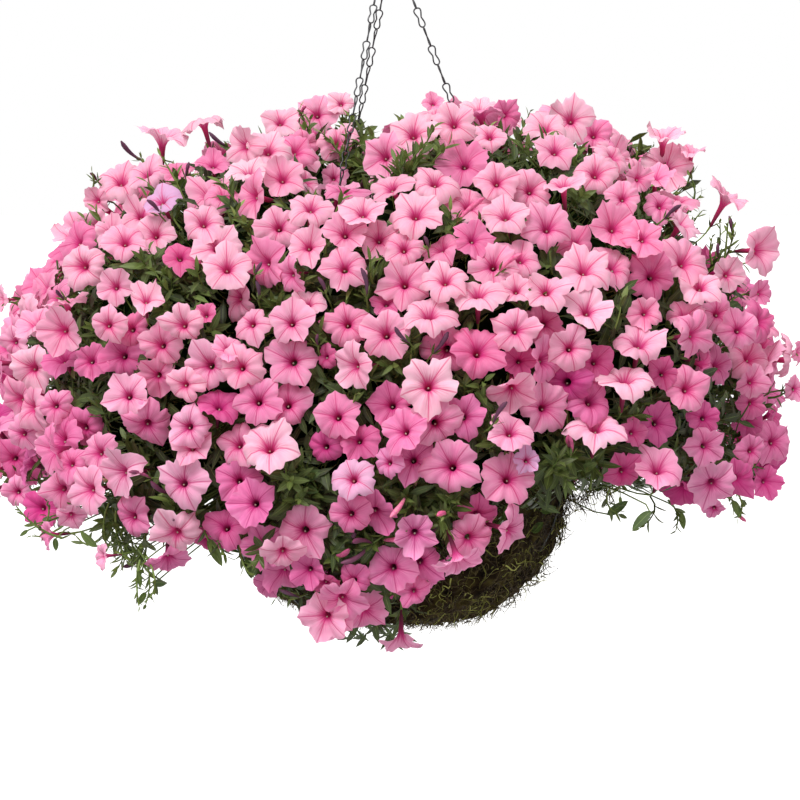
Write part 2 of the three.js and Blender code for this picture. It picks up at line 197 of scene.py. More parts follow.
def readLeafSurface():
    points, faces = [], []
    for name, node in nodes.items():
        if "_plant_crown" in name or "_plant_trail_" in name:
            start = len(points)
            points += [v.co[:] for v in node.data.vertices]
            faces += [[start + i for i in p.vertices] for p in node.data.polygons]
    tree = BVHTree.FromPolygons(points, faces)
    ways = gridWays()
    radius = np.zeros((azimuthCount, elevationCount))
    for a in range(azimuthCount):
        for e in range(elevationCount):
            hit = tree.ray_cast(surfaceCentre + ways[a, e], -ways[a, e])
            radius[a, e] = 1 - hit[3] if hit[0] is not None else noLeaves
    closed = radius.copy()
    for e in range(elevationCount):
        level = max(math.cos(math.pi * (e / (elevationCount - 1) - 0.5)), chainSlot["atPoles"])
        level = level * chainSlot["distance"]
        steps = math.ceil(chainSlot["halfWidth"] / level / (fullTurn / azimuthCount)) + 1
        reach = min(steps, chainSlot["mostSteps"])
        rolled = np.stack([np.roll(radius[:, e], k) for k in range(-reach, reach + 1)])
        wide = rolled.max(axis=0)
        closed[:, e] = np.stack([np.roll(wide, k) for k in range(-reach, reach + 1)]).min(axis=0)
    for dent in dents:
        middle = towards(math.radians(dent["azimuth"]), math.radians(dent["elevation"]))
        apart = np.degrees(np.arccos(np.clip(ways @ middle, -1, 1)))
        closed -= dent["depth"] * np.exp(-(apart / dent["width"]) ** 2)
    for _ in range(valley["rounds"]):
        places = surfaceCentre + ways * closed[..., None]
        share = np.exp(-((places[..., 0] - valley["x"]) / valley["width"]) ** 4)
        share = share * smooth(-places[..., 1], *valley["front"])
        closed -= valley["step"] * share * np.maximum(places[..., 2] - rimHeight - valley["floor"], 0)
    for _ in range(smoothings):
        closed = (np.roll(closed, 1, 0) + 2 * closed + np.roll(closed, -1, 0)) / 4
        closed[:, 1:-1] = (closed[:, :-2] + 2 * closed[:, 1:-1] + closed[:, 2:]) / 4
    return closed


leafSurface = readLeafSurface()
lumpWaves = [(unit(rng.normal(size=3)) * k, rng.uniform(0, 6.28), 1 / k) for k in (5, 7, 9, 12, 15, 19, 24)]
lumpHeight = 9 * mm
lumpMost = 0.35  # what the waves' sum is divided by


# slow uneven swelling of the whole mass, from about -1 to 1
def lump(way):
    total = sum(weight * np.sin(way @ wave + phase) for wave, phase, weight in lumpWaves)
    return total / lumpMost


def surfaceRadius(way):
    a = (np.arctan2(way[..., 1], way[..., 0]) / fullTurn % 1) * azimuthCount
    e = (np.arcsin(np.clip(way[..., 2], -1, 1)) / math.pi + 0.5) * (elevationCount - 1)
    a0, e0 = np.floor(a).astype(int) % azimuthCount, np.clip(np.floor(e).astype(int), 0, elevationCount - 2)
    a1, fa, fe = (a0 + 1) % azimuthCount, a - np.floor(a), e - e0
    low = leafSurface[a0, e0] * (1 - fa) + leafSurface[a1, e0] * fa
    high = leafSurface[a0, e0 + 1] * (1 - fa) + leafSurface[a1, e0 + 1] * fa
    return low * (1 - fe) + high * fe


def layerPoint(way, offset):
    radius = surfaceRadius(way) + offset + lump(way) * lumpHeight
    return surfaceCentre + way * radius[..., None]


def layerNormal(way):
    x, y, _ = turnedFrames(way, np.zeros(len(way)))
    step = 0.06
    across = layerPoint(unit(way + x * step), 0) - layerPoint(unit(way - x * step), 0)
    along = layerPoint(unit(way + y * step), 0) - layerPoint(unit(way - y * step), 0)
    return unit(np.cross(across, along))


def wayOf(places):
    return unit(places - surfaceCentre)


# the moss bowl's outline, read from the CAD liner
mossCentre = np.array([0, 0, rimHeight - 0.05])
linerReading = {"degrees": (-89.5, 24), "steps": 60, "azimuth": 0.05, "missing": 0.19}
bowlBelow = 0.2  # elevation, in radians, under which the bowl is read too


def readMossProfile():
    liner = nodes["moss_liner"]
    points = [v.co[:] for v in liner.data.vertices]
    tree = BVHTree.FromPolygons(points, [list(p.vertices) for p in liner.data.polygons])
    heights = []
    for e in np.radians(np.linspace(*linerReading["degrees"], linerReading["steps"])):
        way = towards(np.array(linerReading["azimuth"]), np.array(e))
        hit = tree.ray_cast(mossCentre + way, -way)
        heights.append((e, 1 - hit[3] if hit[0] is not None else linerReading["missing"]))
    return np.array(heights)


mossProfile = readMossProfile()


# how far places stand off the leaves or the bowl, whichever is nearer
def heightOver(places):
    apart = places - surfaceCentre
    distance = np.linalg.norm(apart, axis=-1)
    way = apart / distance[..., None]
    overLeaves = distance - surfaceRadius(way) - lump(way) * lumpHeight
    apart = places - mossCentre
    distance = np.linalg.norm(apart, axis=-1)
    elevation = np.arcsin(apart[..., 2] / distance)
    overBowl = distance - np.interp(elevation, mossProfile[:, 0], mossProfile[:, 1])
    return np.minimum(overLeaves, np.where(elevation < bowlBelow, overBowl, 1))


rayReach = {"first": 2.2, "last": 3.05, "step": 0.004}  # metres from the camera
farthestSide = 0.432  # and how far to the left or right a place may lie


# where the picture's pixels meet the layer at that offset, or pass nearest to it
def onPicture(px, py, offset):
    rays = pixelRays(px, py)
    steps = np.arange(rayReach["first"], rayReach["last"], rayReach["step"])
    places = cameraPlace + rays[:, None, :] * steps[None, :, None]
    depth = heightOver(places) - np.broadcast_to(offset, len(rays))[:, None]
    inside = depth < 0
    first = np.where(inside.any(axis=1), inside.argmax(axis=1), depth.argmin(axis=1))
    places = places[np.arange(len(rays)), first]
    places[:, 0] = np.clip(places[:, 0], -farthestSide, farthestSide)
    return places


print("leaf surface read")


def buildPiece(name, points, quads, material, maps=None, colours=None, replaced=()):
    points = np.asarray(points, np.float32).reshape(-1, 3)
    quads = np.asarray(quads, np.int32)
    corners = quads.shape[1]
    mesh = bpy.data.meshes.new(name)
    mesh.vertices.add(len(points))
    mesh.vertices.foreach_set("co", points.ravel())
    mesh.loops.add(quads.size)
    mesh.loops.foreach_set("vertex_index", quads.ravel())
    mesh.polygons.add(len(quads))
    mesh.polygons.foreach_set("loop_start", np.arange(0, quads.size, corners, dtype=np.int32))
    mesh.polygons.foreach_set("use_smooth", np.ones(len(quads), bool))
    mesh.update(calc_edges=True)
    for mapName, values in (maps or {}).items():
        layer = mesh.uv_layers.new(name=mapName)
        values = np.asarray(values, np.float32).reshape(-1, 2)
        perCorner = values[quads.ravel()] if len(values) == len(points) else values
        layer.data.foreach_set("uv", perCorner.ravel())
    for colourName, values in (colours or {}).items():
        layer = mesh.color_attributes.new(colourName, "FLOAT_COLOR", "POINT")
        layer.data.foreach_set("color", np.asarray(values, np.float32).ravel())
    mesh.materials.append(material)
    mesh.validate()
    piece = bpy.data.objects.new(name, mesh)
    bpy.context.scene.collection.objects.link(piece)
    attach(piece, "root")
    if replaced:
        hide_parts(*replaced)
    return piece


# quads of one grid of rows by columns, repeated for count copies; closed joins the last column to the first
def gridQuads(rows, columns, count, closed):
    r, c = np.meshgrid(np.arange(rows - 1), np.arange(columns if closed else columns - 1), indexing="ij")
    n = (c + 1) % columns
    one = np.stack([r * columns + c, r * columns + n, (r + 1) * columns + n, (r + 1) * columns + c], -1)
    one = one.reshape(-1, 4)
    shift = np.arange(count) * rows * columns
    return (one[None] + shift[:, None, None]).reshape(-1, 4)


tileEdge = 0.03  # share of a tile left free on each side


# a square tile of the bake map for each of count copies, local is in 0..1
def tiled(local, count):
    side = int(math.ceil(math.sqrt(max(count, 1))))
    index = np.arange(count)
    corner = np.stack([index % side, index // side], -1)
    between = local.ndim - 2 if local.shape[0] == count else local.ndim - 1
    shape = (count,) + (1,) * between + (2,)
    return (corner.reshape(shape) + tileEdge + (1 - 2 * tileEdge) * local) / side


def newMaterial(name):
    material = bpy.data.materials.new(name)
    material.use_nodes = True
    tree = material.node_tree
    tree.nodes.clear()
    return material, tree


def node(tree, kind, settings=None, **inputs):
    made = tree.nodes.new("ShaderNode" + kind)
    for key, value in (settings or {}).items():
        setattr(made, key, value)
    for key, value in inputs.items():
        byNumber = key[0] == "i" and key[1:].isdigit()
        socket = made.inputs[int(key[1:]) if byNumber else key.replace("_", " ")]
        if isinstance(value, bpy.types.NodeSocket):
            tree.links.new(value, socket)
        else:
            socket.default_value = value
    return made


def maths(tree, operation, a, b=0.0, clamp=False):
    return node(tree, "Math", {"operation": operation, "use_clamp": clamp}, i0=a, i1=b).outputs[0]


def vectorMaths(tree, operation, **inputs):
    return node(tree, "VectorMath", {"operation": operation}, **inputs)


# how far a value between 0 and 1 is from its middle, made stronger or weaker
def around(tree, value, strength):
    return maths(tree, "MULTIPLY", maths(tree, "SUBTRACT", value, 0.5), strength)


def mixed(tree, factor, a, b):
    return node(tree, "Mix", {"data_type": "RGBA"}, i0=factor, i6=a, i7=b).outputs[2]


def storedTint(tree):
    stored = node(tree, "VertexColor", {"layer_name": "tint"})
    return stored, node(tree, "SeparateColor", None, i0=stored.outputs[0])


def ramp(tree, factor, pairs):
    made = node(tree, "ValToRGB", None, i0=factor)
    elements = made.color_ramp.elements
    while len(elements) < len(pairs):
        elements.new(0.5)
    for element, (place, colour) in zip(elements, pairs):
        element.position = place
        element.color = colour
    return made.outputs[0]


def spread(tree, value, fromLow, fromHigh, low, high):
    inputs = {"i0": value, "i1": fromLow, "i2": fromHigh, "i3": low, "i4": high}
    return node(tree, "MapRange", {"clamp": True}, **inputs).outputs[0]


# colours are written as they look on screen and turned to linear light here
def colour(red, green, blue):
    parts = [c / 255 for c in (red, green, blue)]
    return tuple(c / 12.92 if c <= 0.04045 else ((c + 0.055) / 1.055) ** 2.4 for c in parts) + (1.0,)


def leafyShader(tree, base, roughness, shine, through):
    solid = node(tree, "BsdfPrincipled", None, Base_Color=base, Roughness=roughness)
    solid.inputs["Specular IOR Level"].default_value = shine
    thin = node(tree, "BsdfTranslucent", None, Color=base)
    both = node(tree, "MixShader", None, i0=through, i1=solid.outputs[0], i2=thin.outputs[0])
    node(tree, "OutputMaterial", None, i0=both.outputs[0])


def stops(*pairs):
    return [(place, colour(*shade)) for place, shade in pairs]


petalColours = {
    "warmLimb": ((0.0, (224, 80, 140)), (0.5, (244, 148, 187)), (1.0, (253, 206, 222))),  # deep to pale
    "coolLimb": ((0.0, (202, 60, 137)), (0.5, (235, 126, 184)), (1.0, (250, 190, 222))),
    "faded": (220, 172, 214),
    "veins": ((218, 52, 118), (182, 36, 116)),  # warm and cool, as those below
    "hot": ((212, 46, 128), (186, 34, 118)),
    "tube": ((204, 56, 114), (150, 34, 90)),
    # deep is the dark down the tube: plum colour deepened nearly to black, partly painted shade
    "deep": ((146, 50, 84), (56, 18, 38)),
}
# finer veins beside each lobe's middle: where they start, how far out they reach and how strong they are
sideVeins = ((0.1, 0.86, 0.75), (0.24, 0.76, 0.6), (0.36, 0.68, 0.5))


# the tint on each petal: paleness, coolness, a chance number, and in its alpha how far it has faded; paleness
# and coolness carry painted light and shade as well as each flower's own tone
def petalMaterial(name):
    material, tree = newMaterial(name)
    stored, tint = storedTint(tree)
    pale, cool, chance = tint.outputs[0], tint.outputs[1], tint.outputs[2]
    faded = stored.outputs[1]
    disc = node(tree, "UVMap", {"uv_map": "petal"}).outputs[0]
    centred = vectorMaths(tree, "MULTIPLY_ADD", i0=disc, i1=(2, 2, 0), i2=(-1, -1, 0)).outputs[0]
    parts = node(tree, "SeparateXYZ", None, i0=centred)
    length = vectorMaths(tree, "LENGTH", i0=centred).outputs["Value"]
    angle = maths(tree, "ARCTAN2", parts.outputs[1], parts.outputs[0])
    wayOut = vectorMaths(tree, "NORMALIZE", i0=centred).outputs[0]
    fromThroat = spread(tree, length, 0.4, 1.0, 0.17, 1.0)

    # radial streaks, the same all the way out, and soft mottling
    lifted = node(tree, "CombineXYZ", None, i2=maths(tree, "MULTIPLY", chance, 40.0)).outputs[0]
    streakPlace = vectorMaths(tree, "ADD", i0=wayOut, i1=lifted).outputs[0]
    streaks = node(tree, "TexNoise", None, i0=streakPlace, Scale=9.0, Detail=3.0).outputs[0]
    mottlePlace = vectorMaths(tree, "ADD", i0=centred, i1=lifted).outputs[0]
    mottle = node(tree, "TexNoise", None, i0=mottlePlace, Scale=3.0, Detail=3.0).outputs[0]

    # paler to the rim
    fiveFold = maths(tree, "COSINE", maths(tree, "MULTIPLY", angle, 5.0))
    shade = maths(tree, "ADD", pale, around(tree, mottle, 0.4))
    shade = maths(tree, "ADD", shade, spread(tree, length, 0.55, 1.0, -0.04, 0.13))
    shade = maths(tree, "ADD", shade, around(tree, streaks, 0.3), clamp=True)
    warmLimb = ramp(tree, shade, stops(*petalColours["warmLimb"]))
    coolLimb = ramp(tree, shade, stops(*petalColours["coolLimb"]))
    limb = mixed(tree, cool, warmLimb, coolLimb)
    limb = mixed(tree, faded, limb, colour(*petalColours["faded"]))

    def warmToCool(key):
        warm, cold = petalColours[key]
        return mixed(tree, cool, colour(*warm), colour(*cold))

    # one fine line down the middle of each lobe and fainter ones beside it
    width = maths(tree, "POWER", maths(tree, "DIVIDE", 0.034, fromThroat), 2.0)
    mid = maths(tree, "DIVIDE", maths(tree, "SUBTRACT", 1.0, fiveFold), maths(tree, "MULTIPLY", width, 12.5))
    mid = maths(tree, "SUBTRACT", 1.0, mid, clamp=True)
    mid = maths(tree, "MULTIPLY", mid, spread(tree, length, 0.5, 1.0, 0.95, 0.45))
    beside = maths(tree, "FRACT", maths(tree, "ADD", maths(tree, "MULTIPLY", angle, 5 / fullTurn), 10.5))
    beside = maths(tree, "ABSOLUTE", maths(tree, "SUBTRACT", beside, 0.5))
    wander = around(tree, mottle, 0.16)
    lines = mid
    for start, reach, depth in sideVeins:
        bent = maths(tree, "ADD", wander, start - 0.06)
        bent = maths(tree, "ADD", maths(tree, "MULTIPLY", length, 0.09), bent)
        apart = maths(tree, "ABSOLUTE", maths(tree, "SUBTRACT", beside, bent))
        apart = maths(tree, "MULTIPLY", apart, maths(tree, "MULTIPLY", fromThroat, 1.26 / 0.02))
        thin = maths(tree, "SUBTRACT", 1.0, apart, clamp=True)
        thin = maths(tree, "MULTIPLY", thin, spread(tree, length, 0.5, reach, depth, 0.0))
        lines = maths(tree, "MAXIMUM", lines, thin)
    fan = spread(tree, streaks, 0.56, 0.66, 0.0, 1.0)
    fan = maths(tree, "MULTIPLY", fan, spread(tree, length, 0.48, 0.75, 0.55, 0.0))
    lines = maths(tree, "MAXIMUM", lines, fan)
    petal = mixed(tree, lines, limb, warmToCool("veins"))

    # the throat: hot pink with a feathered edge, dark down the tube, which is partly the tube's own plum
    # colour and partly painted shade
    feather = maths(tree, "ADD", length, around(tree, streaks, -0.24))
    petal = mixed(tree, spread(tree, feather, 0.46, 0.585, 0.85, 0.0), petal, warmToCool("hot"))
    petal = mixed(tree, spread(tree, length, 0.36, 0.46, 1.0, 0.0), petal, warmToCool("tube"))
    # the dark, partly painted shade, reaches further out on cooler flowers, so further low down
    deep = maths(tree, "SUBTRACT", length, maths(tree, "MULTIPLY", cool, 0.12))
    petal = mixed(tree, spread(tree, deep, 0.18, 0.37, 0.9, 0.0), petal, warmToCool("deep"))
    leafyShader(tree, petal, 0.6, 0.25, 0.36)
    return material


def leafMaterial(name, dark, middle, light):
    material, tree = newMaterial(name)
    _, tint = storedTint(tree)
    # bright is each leaf's tone, with painted shade taken off for many lower down
    bright, yellow, chance = tint.outputs[0], tint.outputs[1], tint.outputs[2]
    place = node(tree, "UVMap", {"uv_map": "leaf"}).outputs[0]
    parts = node(tree, "SeparateXYZ", None, i0=place)
    across = maths(tree, "ABSOLUTE", maths(tree, "SUBTRACT", parts.outputs[0], 0.5))
    lifted = node(tree, "CombineXYZ", None, i2=maths(tree, "MULTIPLY", chance, 50.0)).outputs[0]
    moved = vectorMaths(tree, "ADD", i0=place, i1=lifted).outputs[0]
    mottle = node(tree, "TexNoise", None, i0=moved, Scale=4.0, Detail=4.0).outputs[0]
    shade = maths(tree, "ADD", bright, around(tree, mottle, 0.5), clamp=True)
    green = ramp(tree, shade, [(0.0, dark), (0.5, middle), (1.0, light)])
    green = mixed(tree, yellow, green, colour(150, 152, 70))
    rib = spread(tree, across, 0.0, 0.06, 0.55, 0.0)
    slant = maths(tree, "MULTIPLY", parts.outputs[1], 9.0)
    slant = maths(tree, "SUBTRACT", slant, maths(tree, "MULTIPLY", across, 8.0))
    side = spread(tree, maths(tree, "FRACT", slant), 0.0, 0.16, 0.3, 0.0)
    green = mixed(tree, maths(tree, "MAXIMUM", rib, side), green, light)
    leafyShader(tree, green, 0.5, 0.35, 0.25)
    return material


def mottledMaterial(name, shades, scale, roughness, metallic=0.0, shine=0.3):
    material, tree = newMaterial(name)
    place = node(tree, "TexCoord").outputs["Object"]
    noise = node(tree, "TexNoise", None, i0=place, Scale=scale, Detail=4.0).outputs[0]
    base = ramp(tree, spread(tree, noise, 0.3, 0.7, 0.0, 1.0), stops(*shades))
    looks = {"Base_Color": base, "Roughness": roughness, "Metallic": metallic}
    solid = node(tree, "BsdfPrincipled", None, **looks)
    solid.inputs["Specular IOR Level"].default_value = shine
    node(tree, "OutputMaterial", None, i0=solid.outputs[0])
    return material


def tintedMaterial(name, shades, roughness, through):
    material, tree = newMaterial(name)
    _, tint = storedTint(tree)
    place = node(tree, "TexCoord").outputs["Object"]
    noise = node(tree, "TexNoise", None, i0=place, Scale=300.0, Detail=2.0).outputs[0]
    shade = maths(tree, "ADD", tint.outputs[0], around(tree, noise, 0.4), clamp=True)
    leafyShader(tree, ramp(tree, shade, stops(*shades)), roughness, 0.3, through)
    return material


petals = petalMaterial("petals")
leafGreen = leafMaterial("leaf_green", colour(21, 30, 14), colour(64, 84, 39), colour(130, 150, 80))
stemShades = ((0.0, (84, 58, 46)), (0.4, (92, 112, 52)), (1.0, (144, 164, 86)))
stemGreen = tintedMaterial("stem_green", stemShades, 0.55, 0.15)
# plum to pink for the petals' buds, green for the youngest
budShades = (
    (0.0, (84, 56, 78)),
    (0.4, (124, 62, 92)),
    (0.7, (222, 96, 146)),
    (0.85, (242, 140, 176)),
    (1.0, (176, 176, 100)),
)
budSkin = tintedMaterial("bud_skin", budShades, 0.5, 0.2)
# near-black greens: painted shade for the sheet inside the plants
innerShadeGreens = ((0.0, (6, 10, 4)), (0.6, (14, 24, 9)), (1.0, (26, 40, 15)))
innerShadeLeaf = mottledMaterial("inner_leaf", innerShadeGreens, 70.0, 0.9, shine=0.0)
# brown fibres to green and straw ones
mossShades = (
    (0.0, (22, 16, 10)),
    (0.35, (56, 43, 27)),
    (0.6, (78, 68, 33)),
    (0.85, (116, 118, 52)),
    (1.0, (176, 178, 98)),
)
mossStrand = tintedMaterial("moss_strand", mossShades, 0.9, 0.12)
bedShades = ((0.0, (10, 8, 5)), (0.5, (40, 29, 18)), (1.0, (72, 64, 30)))
mossBed = mottledMaterial("moss_bed", bedShades, 60.0, 0.95, shine=0.05)
soilMix = mottledMaterial("soil_mix", ((0.0, (24, 16, 10)), (1.0, (66, 48, 34))), 120.0, 0.95)
stamenCream = mottledMaterial("stamen_cream", ((0.0, (150, 142, 118)), (1.0, (206, 200, 180))), 500.0, 0.6)
steelShades = ((0.0, (44, 44, 46)), (1.0, (92, 92, 94)))
chainSteel = mottledMaterial("chain_steel", steelShades, 260.0, 0.45, metallic=0.75)
paintedWire = mottledMaterial("painted_wire", ((0.0, (18, 22, 20)), (1.0, (40, 46, 40))), 200.0, 0.5)
footBark = mottledMaterial("foot_bark", ((0.0, (60, 48, 30)), (1.0, (104, 112, 60))), 150.0, 0.8)
print("materials made")


# flowers: grids of columns round the throat by rings along the petal

bloomSettings = {
    "tubeDepth": 33 * mm,  # from the face back to the calyx, at the usual radius
    "usualRadius": 25 * mm,
    "throat": 0.2,  # radius where the tube turns into the face, as a share
    "profile": (
        (0.05, 0.06, 0.0),
        (0.2, 0.085, 10.0),
        (0.36, 0.105, 20.0),
        (0.43, 0.135, 25.5),
        (0.49, 0.2, 29.0),
        (0.58, 0.37, 31.6),
        (0.7, 0.62, 32.6),
        (0.82, 0.82, 33.0),
        (0.92, 0.94, 33.2),
        (1.0, 1.0, 33.0),
    ),  # place along the petal, radius share, height in mm
    "fullRings": (0.05, 0.2, 0.36, 0.43, 0.49, 0.58, 0.7, 0.82, 0.92, 1.0),
    "fewRings": (0.05, 0.36, 0.43, 0.5, 0.66, 0.84, 1.0),
    # place across half a lobe, radius share
    "lobe": ((0, 1.0), (0.1, 0.975), (0.2, 0.965), (0.3, 0.955), (0.4, 0.91), (0.5, 0.82)),
    "tip": (0.02, 0.15),
    "tipWidth": 0.14,  # this and the widths below are shares of a lobe's breadth
    "notch": (-0.02, 0.07),
    "notchWidth": (0.32, 0.5),
    "lobeSize": (0.9, 1.07),
    "lobeSlant": (-0.14, 0.14),
    "rag": 0.026,
    "ragShare": 1.3,
    "flop": 0.17,  # in radians: of the whole face, then of each lobe
    "lobeFlop": 0.17,
    "lobeCurl": 0.25,
    "upperLift": 0.3,  # share by which the upper lobes lift where the lower ones hang
    "liftLoss": 0.3,
    "pleat": 0.65,  # mm
    "rib": 0.9,
    "ribWidth": 0.13,
    "ruffles": (7, 11, 16),
    "ruffle": (0.3, 1.4),
}


def bloomPoints(flowers, lobeSteps, place):
    s = bloomSettings
    count = len(flowers["face"])
    columns = 5 * lobeSteps
    turn = np.arange(columns) * fullTurn / columns
    beside = (turn / (0.4 * math.pi) + 0.5) % 1 - 0.5  # place across one lobe, 0 at its middle
    lobe = np.floor(turn / (0.4 * math.pi) + 0.5).astype(int) % 5
    place = np.array(place)
    profile = np.array(s["profile"])
    radiusShare = np.interp(place, profile[:, 0], profile[:, 1])
    height = np.interp(place, profile[:, 0], profile[:, 2]) * mm
    seed = np.random.RandomState(flowers["seed"])

    def perLobe(low, high):
        return seed.uniform(low, high, (count, 5))[:, lobe]

    lobeKnots = np.array(s["lobe"])
    outline = np.interp(np.abs(beside), lobeKnots[:, 0], lobeKnots[:, 1])[None, :]
    outline = outline + perLobe(*s["tip"]) * np.maximum(0, 1 - np.abs(beside) / s["tipWidth"])
    outline = outline - perLobe(*s["notch"]) * smooth(np.abs(beside), *s["notchWidth"])
    outline = outline * perLobe(*s["lobeSize"]) + perLobe(*s["lobeSlant"]) * beside
    rag = seed.normal(0, s["rag"], (count, columns))
    outline = outline + (rag + np.roll(rag, 1, axis=1)) / s["ragShare"]
    wanted = smooth(place, 0.5, 1.0)

    radius = flowers["radius"][:, None, None]
    scale = radius / s["usualRadius"]
    throat = s["throat"] * radius
    r = radius * radiusShare[None, :, None] * (1 + (outline[:, None, :] - 1) * wanted[None, :, None])
    h = scale * height[None, :, None] + np.zeros_like(r)
    out = (radiusShare - s["throat"]) / (1 - s["throat"])
    out = np.clip(out, 0, 1)[None, :, None]
    beyond = np.maximum(r - throat, 0)

    # how the face is bent: lower lobes hang, each lobe has its own lift and curl
    x, y, z = turnedFrames(flowers["facing"], flowers["roll"])
    downTurn = np.arctan2(-y[:, 2], -x[:, 2])
    hang = np.hypot(x[:, 2], y[:, 2])
    below = np.cos(turn[None, :] - downTurn[:, None])
    flop = 0
    for m in (1, 2, 3):
        amount = seed.normal(0, s["flop"] / m, (count, 1))
        flop = flop + amount * np.cos(m * turn[None, :] + seed.uniform(0, 6.28, (count, 1)))
    lobeShape = np.cos(math.pi * beside) ** 2
    lobeFlop = seed.normal(0, s["lobeFlop"], (count, 5))[:, lobe] * lobeShape
    lobeCurl = seed.normal(0, s["lobeCurl"], (count, 5))[:, lobe] * (0.4 + 0.6 * lobeShape)
    bend = np.maximum(below, 0) - s["upperLift"] * np.maximum(-below, 0)
    sag = flowers["sag"][:, None] * hang[:, None] * bend
    lift = (flowers["cup"][:, None] + flop + lobeFlop - sag)[:, None, :]
    curl = (flowers["curl"][:, None] + lobeCurl)[:, None, :]
    lift = lift * (1 - s["liftLoss"] * out) - curl * out ** 2
    r = np.where(beyond > 0, throat + beyond * np.cos(lift), r)
    h = h + beyond * np.sin(lift)

    # pleats between the lobes' ribs, and the wavy rim
    pleat = scale * s["pleat"] * mm * np.sin(math.pi * out)
    pleat = pleat * -np.cos(4 * math.pi * beside)[None, None, :]
    ribShape = np.maximum(0, 1 - np.abs(beside) / s["ribWidth"])
    rib = scale * -s["rib"] * mm * out * ribShape[None, None, :]
    ruffle = 0
    for m in s["ruffles"]:
        wave = np.sin(m * turn[None, :] + seed.uniform(0, 6.28, (count, 1)))
        ruffle = ruffle + seed.uniform(*s["ruffle"], (count, 1)) * mm * wave
    h = h + pleat + rib + scale * out ** 2 * ruffle[:, None, :]
    h = h - scale * s["tubeDepth"]

    cosTurn, sinTurn = np.cos(turn), np.sin(turn)
    points = (
        flowers["face"][:, None, None, :]
        + (r * cosTurn)[..., None] * x[:, None, None, :]
        + (r * sinTurn)[..., None] * y[:, None, None, :]
        + h[..., None] * z[:, None, None, :]
    )
    disc = 0.5 + 0.5 * place[:, None, None] * np.stack([cosTurn, sinTurn], -1)[None]
    return points, np.broadcast_to(disc, (count,) + disc.shape)


def addBlooms(name, flowers, lobeSteps, place, replaced=()):
    points, disc = bloomPoints(flowers, lobeSteps, place)
    count, rows, columns = points.shape[:3]
    tint = np.broadcast_to(flowers["tint"][:, None, None, :], points.shape[:3] + (4,))
    quads = gridQuads(rows, columns, count, True)
    maps = {"petal": disc, "OFBake": tiled(disc, count)}
    return buildPiece(name, points, quads, petals, maps, {"tint": tint}, replaced)


def chosen(flowers, which):
    return {key: value[which] if isinstance(value, np.ndarray) else value for key, value in flowers.items()}


def joined(parts):
    both = {}
    for key in parts[0]:
        arrays = isinstance(parts[0][key], np.ndarray)
        both[key] = np.concatenate([p[key] for p in parts]) if arrays else parts[0][key]
    return both


# how far each face is cupped (middle and spread), how its rim curls back, and how its lower lobes hang
faceShapes = {"cup": (0.2, 0.15), "curl": (0.0, 0.5), "sag": (0.1, 0.65)}


# what a list of face places and facings needs besides, with even chances
def dressed(face, facing, radius, pale, cool, faded, seed):
    count = len(face)
    draw = np.random.RandomState(seed)
    chance = draw.uniform(0, 1, count)
    tint = [np.clip(pale, 0, 1), np.clip(cool, 0, 1), chance, np.broadcast_to(faded, count)]
    return {
        "face": face,
        "facing": unit(facing),
        "radius": radius,
        "roll": draw.uniform(0, fullTurn, count),
        "cup": draw.normal(*faceShapes["cup"], count),
        "curl": draw.uniform(*faceShapes["curl"], count),
        "sag": draw.uniform(*faceShapes["sag"], count),
        "tint": np.stack(tint, -1),
        "seed": seed,
    }


# "low" is how much cooler they get between these heights under the rim, which is painted shade, "deep" how
# much for deep pink ones
coolSettings = {"top": 0.12, "low": 0.6, "between": (-0.24, 0.12), "deep": 0.5, "chance": 0.14}


# warm and pale at the top, cooler lower down as painted shade; deeper ones, and some by chance, cooler as
# well
def coolness(places, pale, draw):
    s = coolSettings
    height = places[:, 2] - rimHeight
    cool = s["top"] + s["low"] * smooth(-height, *s["between"])
    return cool + s["deep"] * (0.5 - pale) + draw.normal(0, s["chance"], len(places))


# leaves, stems and buds

leafOutline = {"foot": 0.65, "tip": 0.8, "least": 0.012}


# leaves as narrow folded blades: rows from base to tip, three points across
def leafPoints(base, way, normal, length, width, droop, fold, rows):
    t = np.linspace(0, 1, rows)
    outline = np.maximum(t ** leafOutline["foot"] * (1 - t) ** leafOutline["tip"], leafOutline["least"])
    outline = outline / outline.max()
    way = unit(way)
    side = unit(np.cross(normal, way))
    normal = np.cross(way, side)
    middle = (
        base[:, None, :]
        + way[:, None, :] * (length[:, None] * t)[..., None]
        - normal[:, None, :] * (droop * length)[:, None, None] * (t ** 2)[None, :, None]
    )
    half = (width / 2)[:, None] * outline[None, :]
    lifted = normal[:, None, :] * (half * fold[:, None])[..., None]
    left = middle - side[:, None, :] * half[..., None] + lifted
    right = middle + side[:, None, :] * half[..., None] + lifted
    points = np.stack([left, middle, right], axis=2)
    place = np.stack(np.broadcast_arrays(np.array([0.0, 0.5, 1.0])[None, :], t[:, None]), -1)
    return points, np.broadcast_to(place[None], (len(base),) + place.shape)


def addLeaves(name, leaves, rows, replaced=()):
    keys = ("base", "way", "normal", "length", "width", "droop", "fold")
    points, place = leafPoints(*(leaves[key] for key in keys), rows)
    count = len(points)
    tint = np.broadcast_to(leaves["tint"][:, None, None, :], (count, rows, 3, 4))
    maps = {"leaf": place, "OFBake": tiled(place, count)}
    quads = gridQuads(rows, 3, count, False)
    return buildPiece(name, points, quads, leafGreen, maps, {"tint": tint}, replaced)


# round bars along lines of points; radius holds a value for each point
def tubePoints(lines, radius, sides):
    along = np.gradient(lines, axis=1)
    along = unit(along)
    helper = np.where(np.abs(along[:, :1, 2:3]) > 0.9, np.array([[[1.0, 0, 0]]]), np.array([[[0, 0, 1.0]]]))
    first = unit(np.cross(along, np.broadcast_to(helper, along.shape)))
    second = np.cross(along, first)
    turn = np.arange(sides) * 2 * math.pi / sides
    ring = first[:, :, None, :] * np.cos(turn)[:, None] + second[:, :, None, :] * np.sin(turn)[:, None]
    return lines[:, :, None, :] + ring * radius[:, :, None, None]


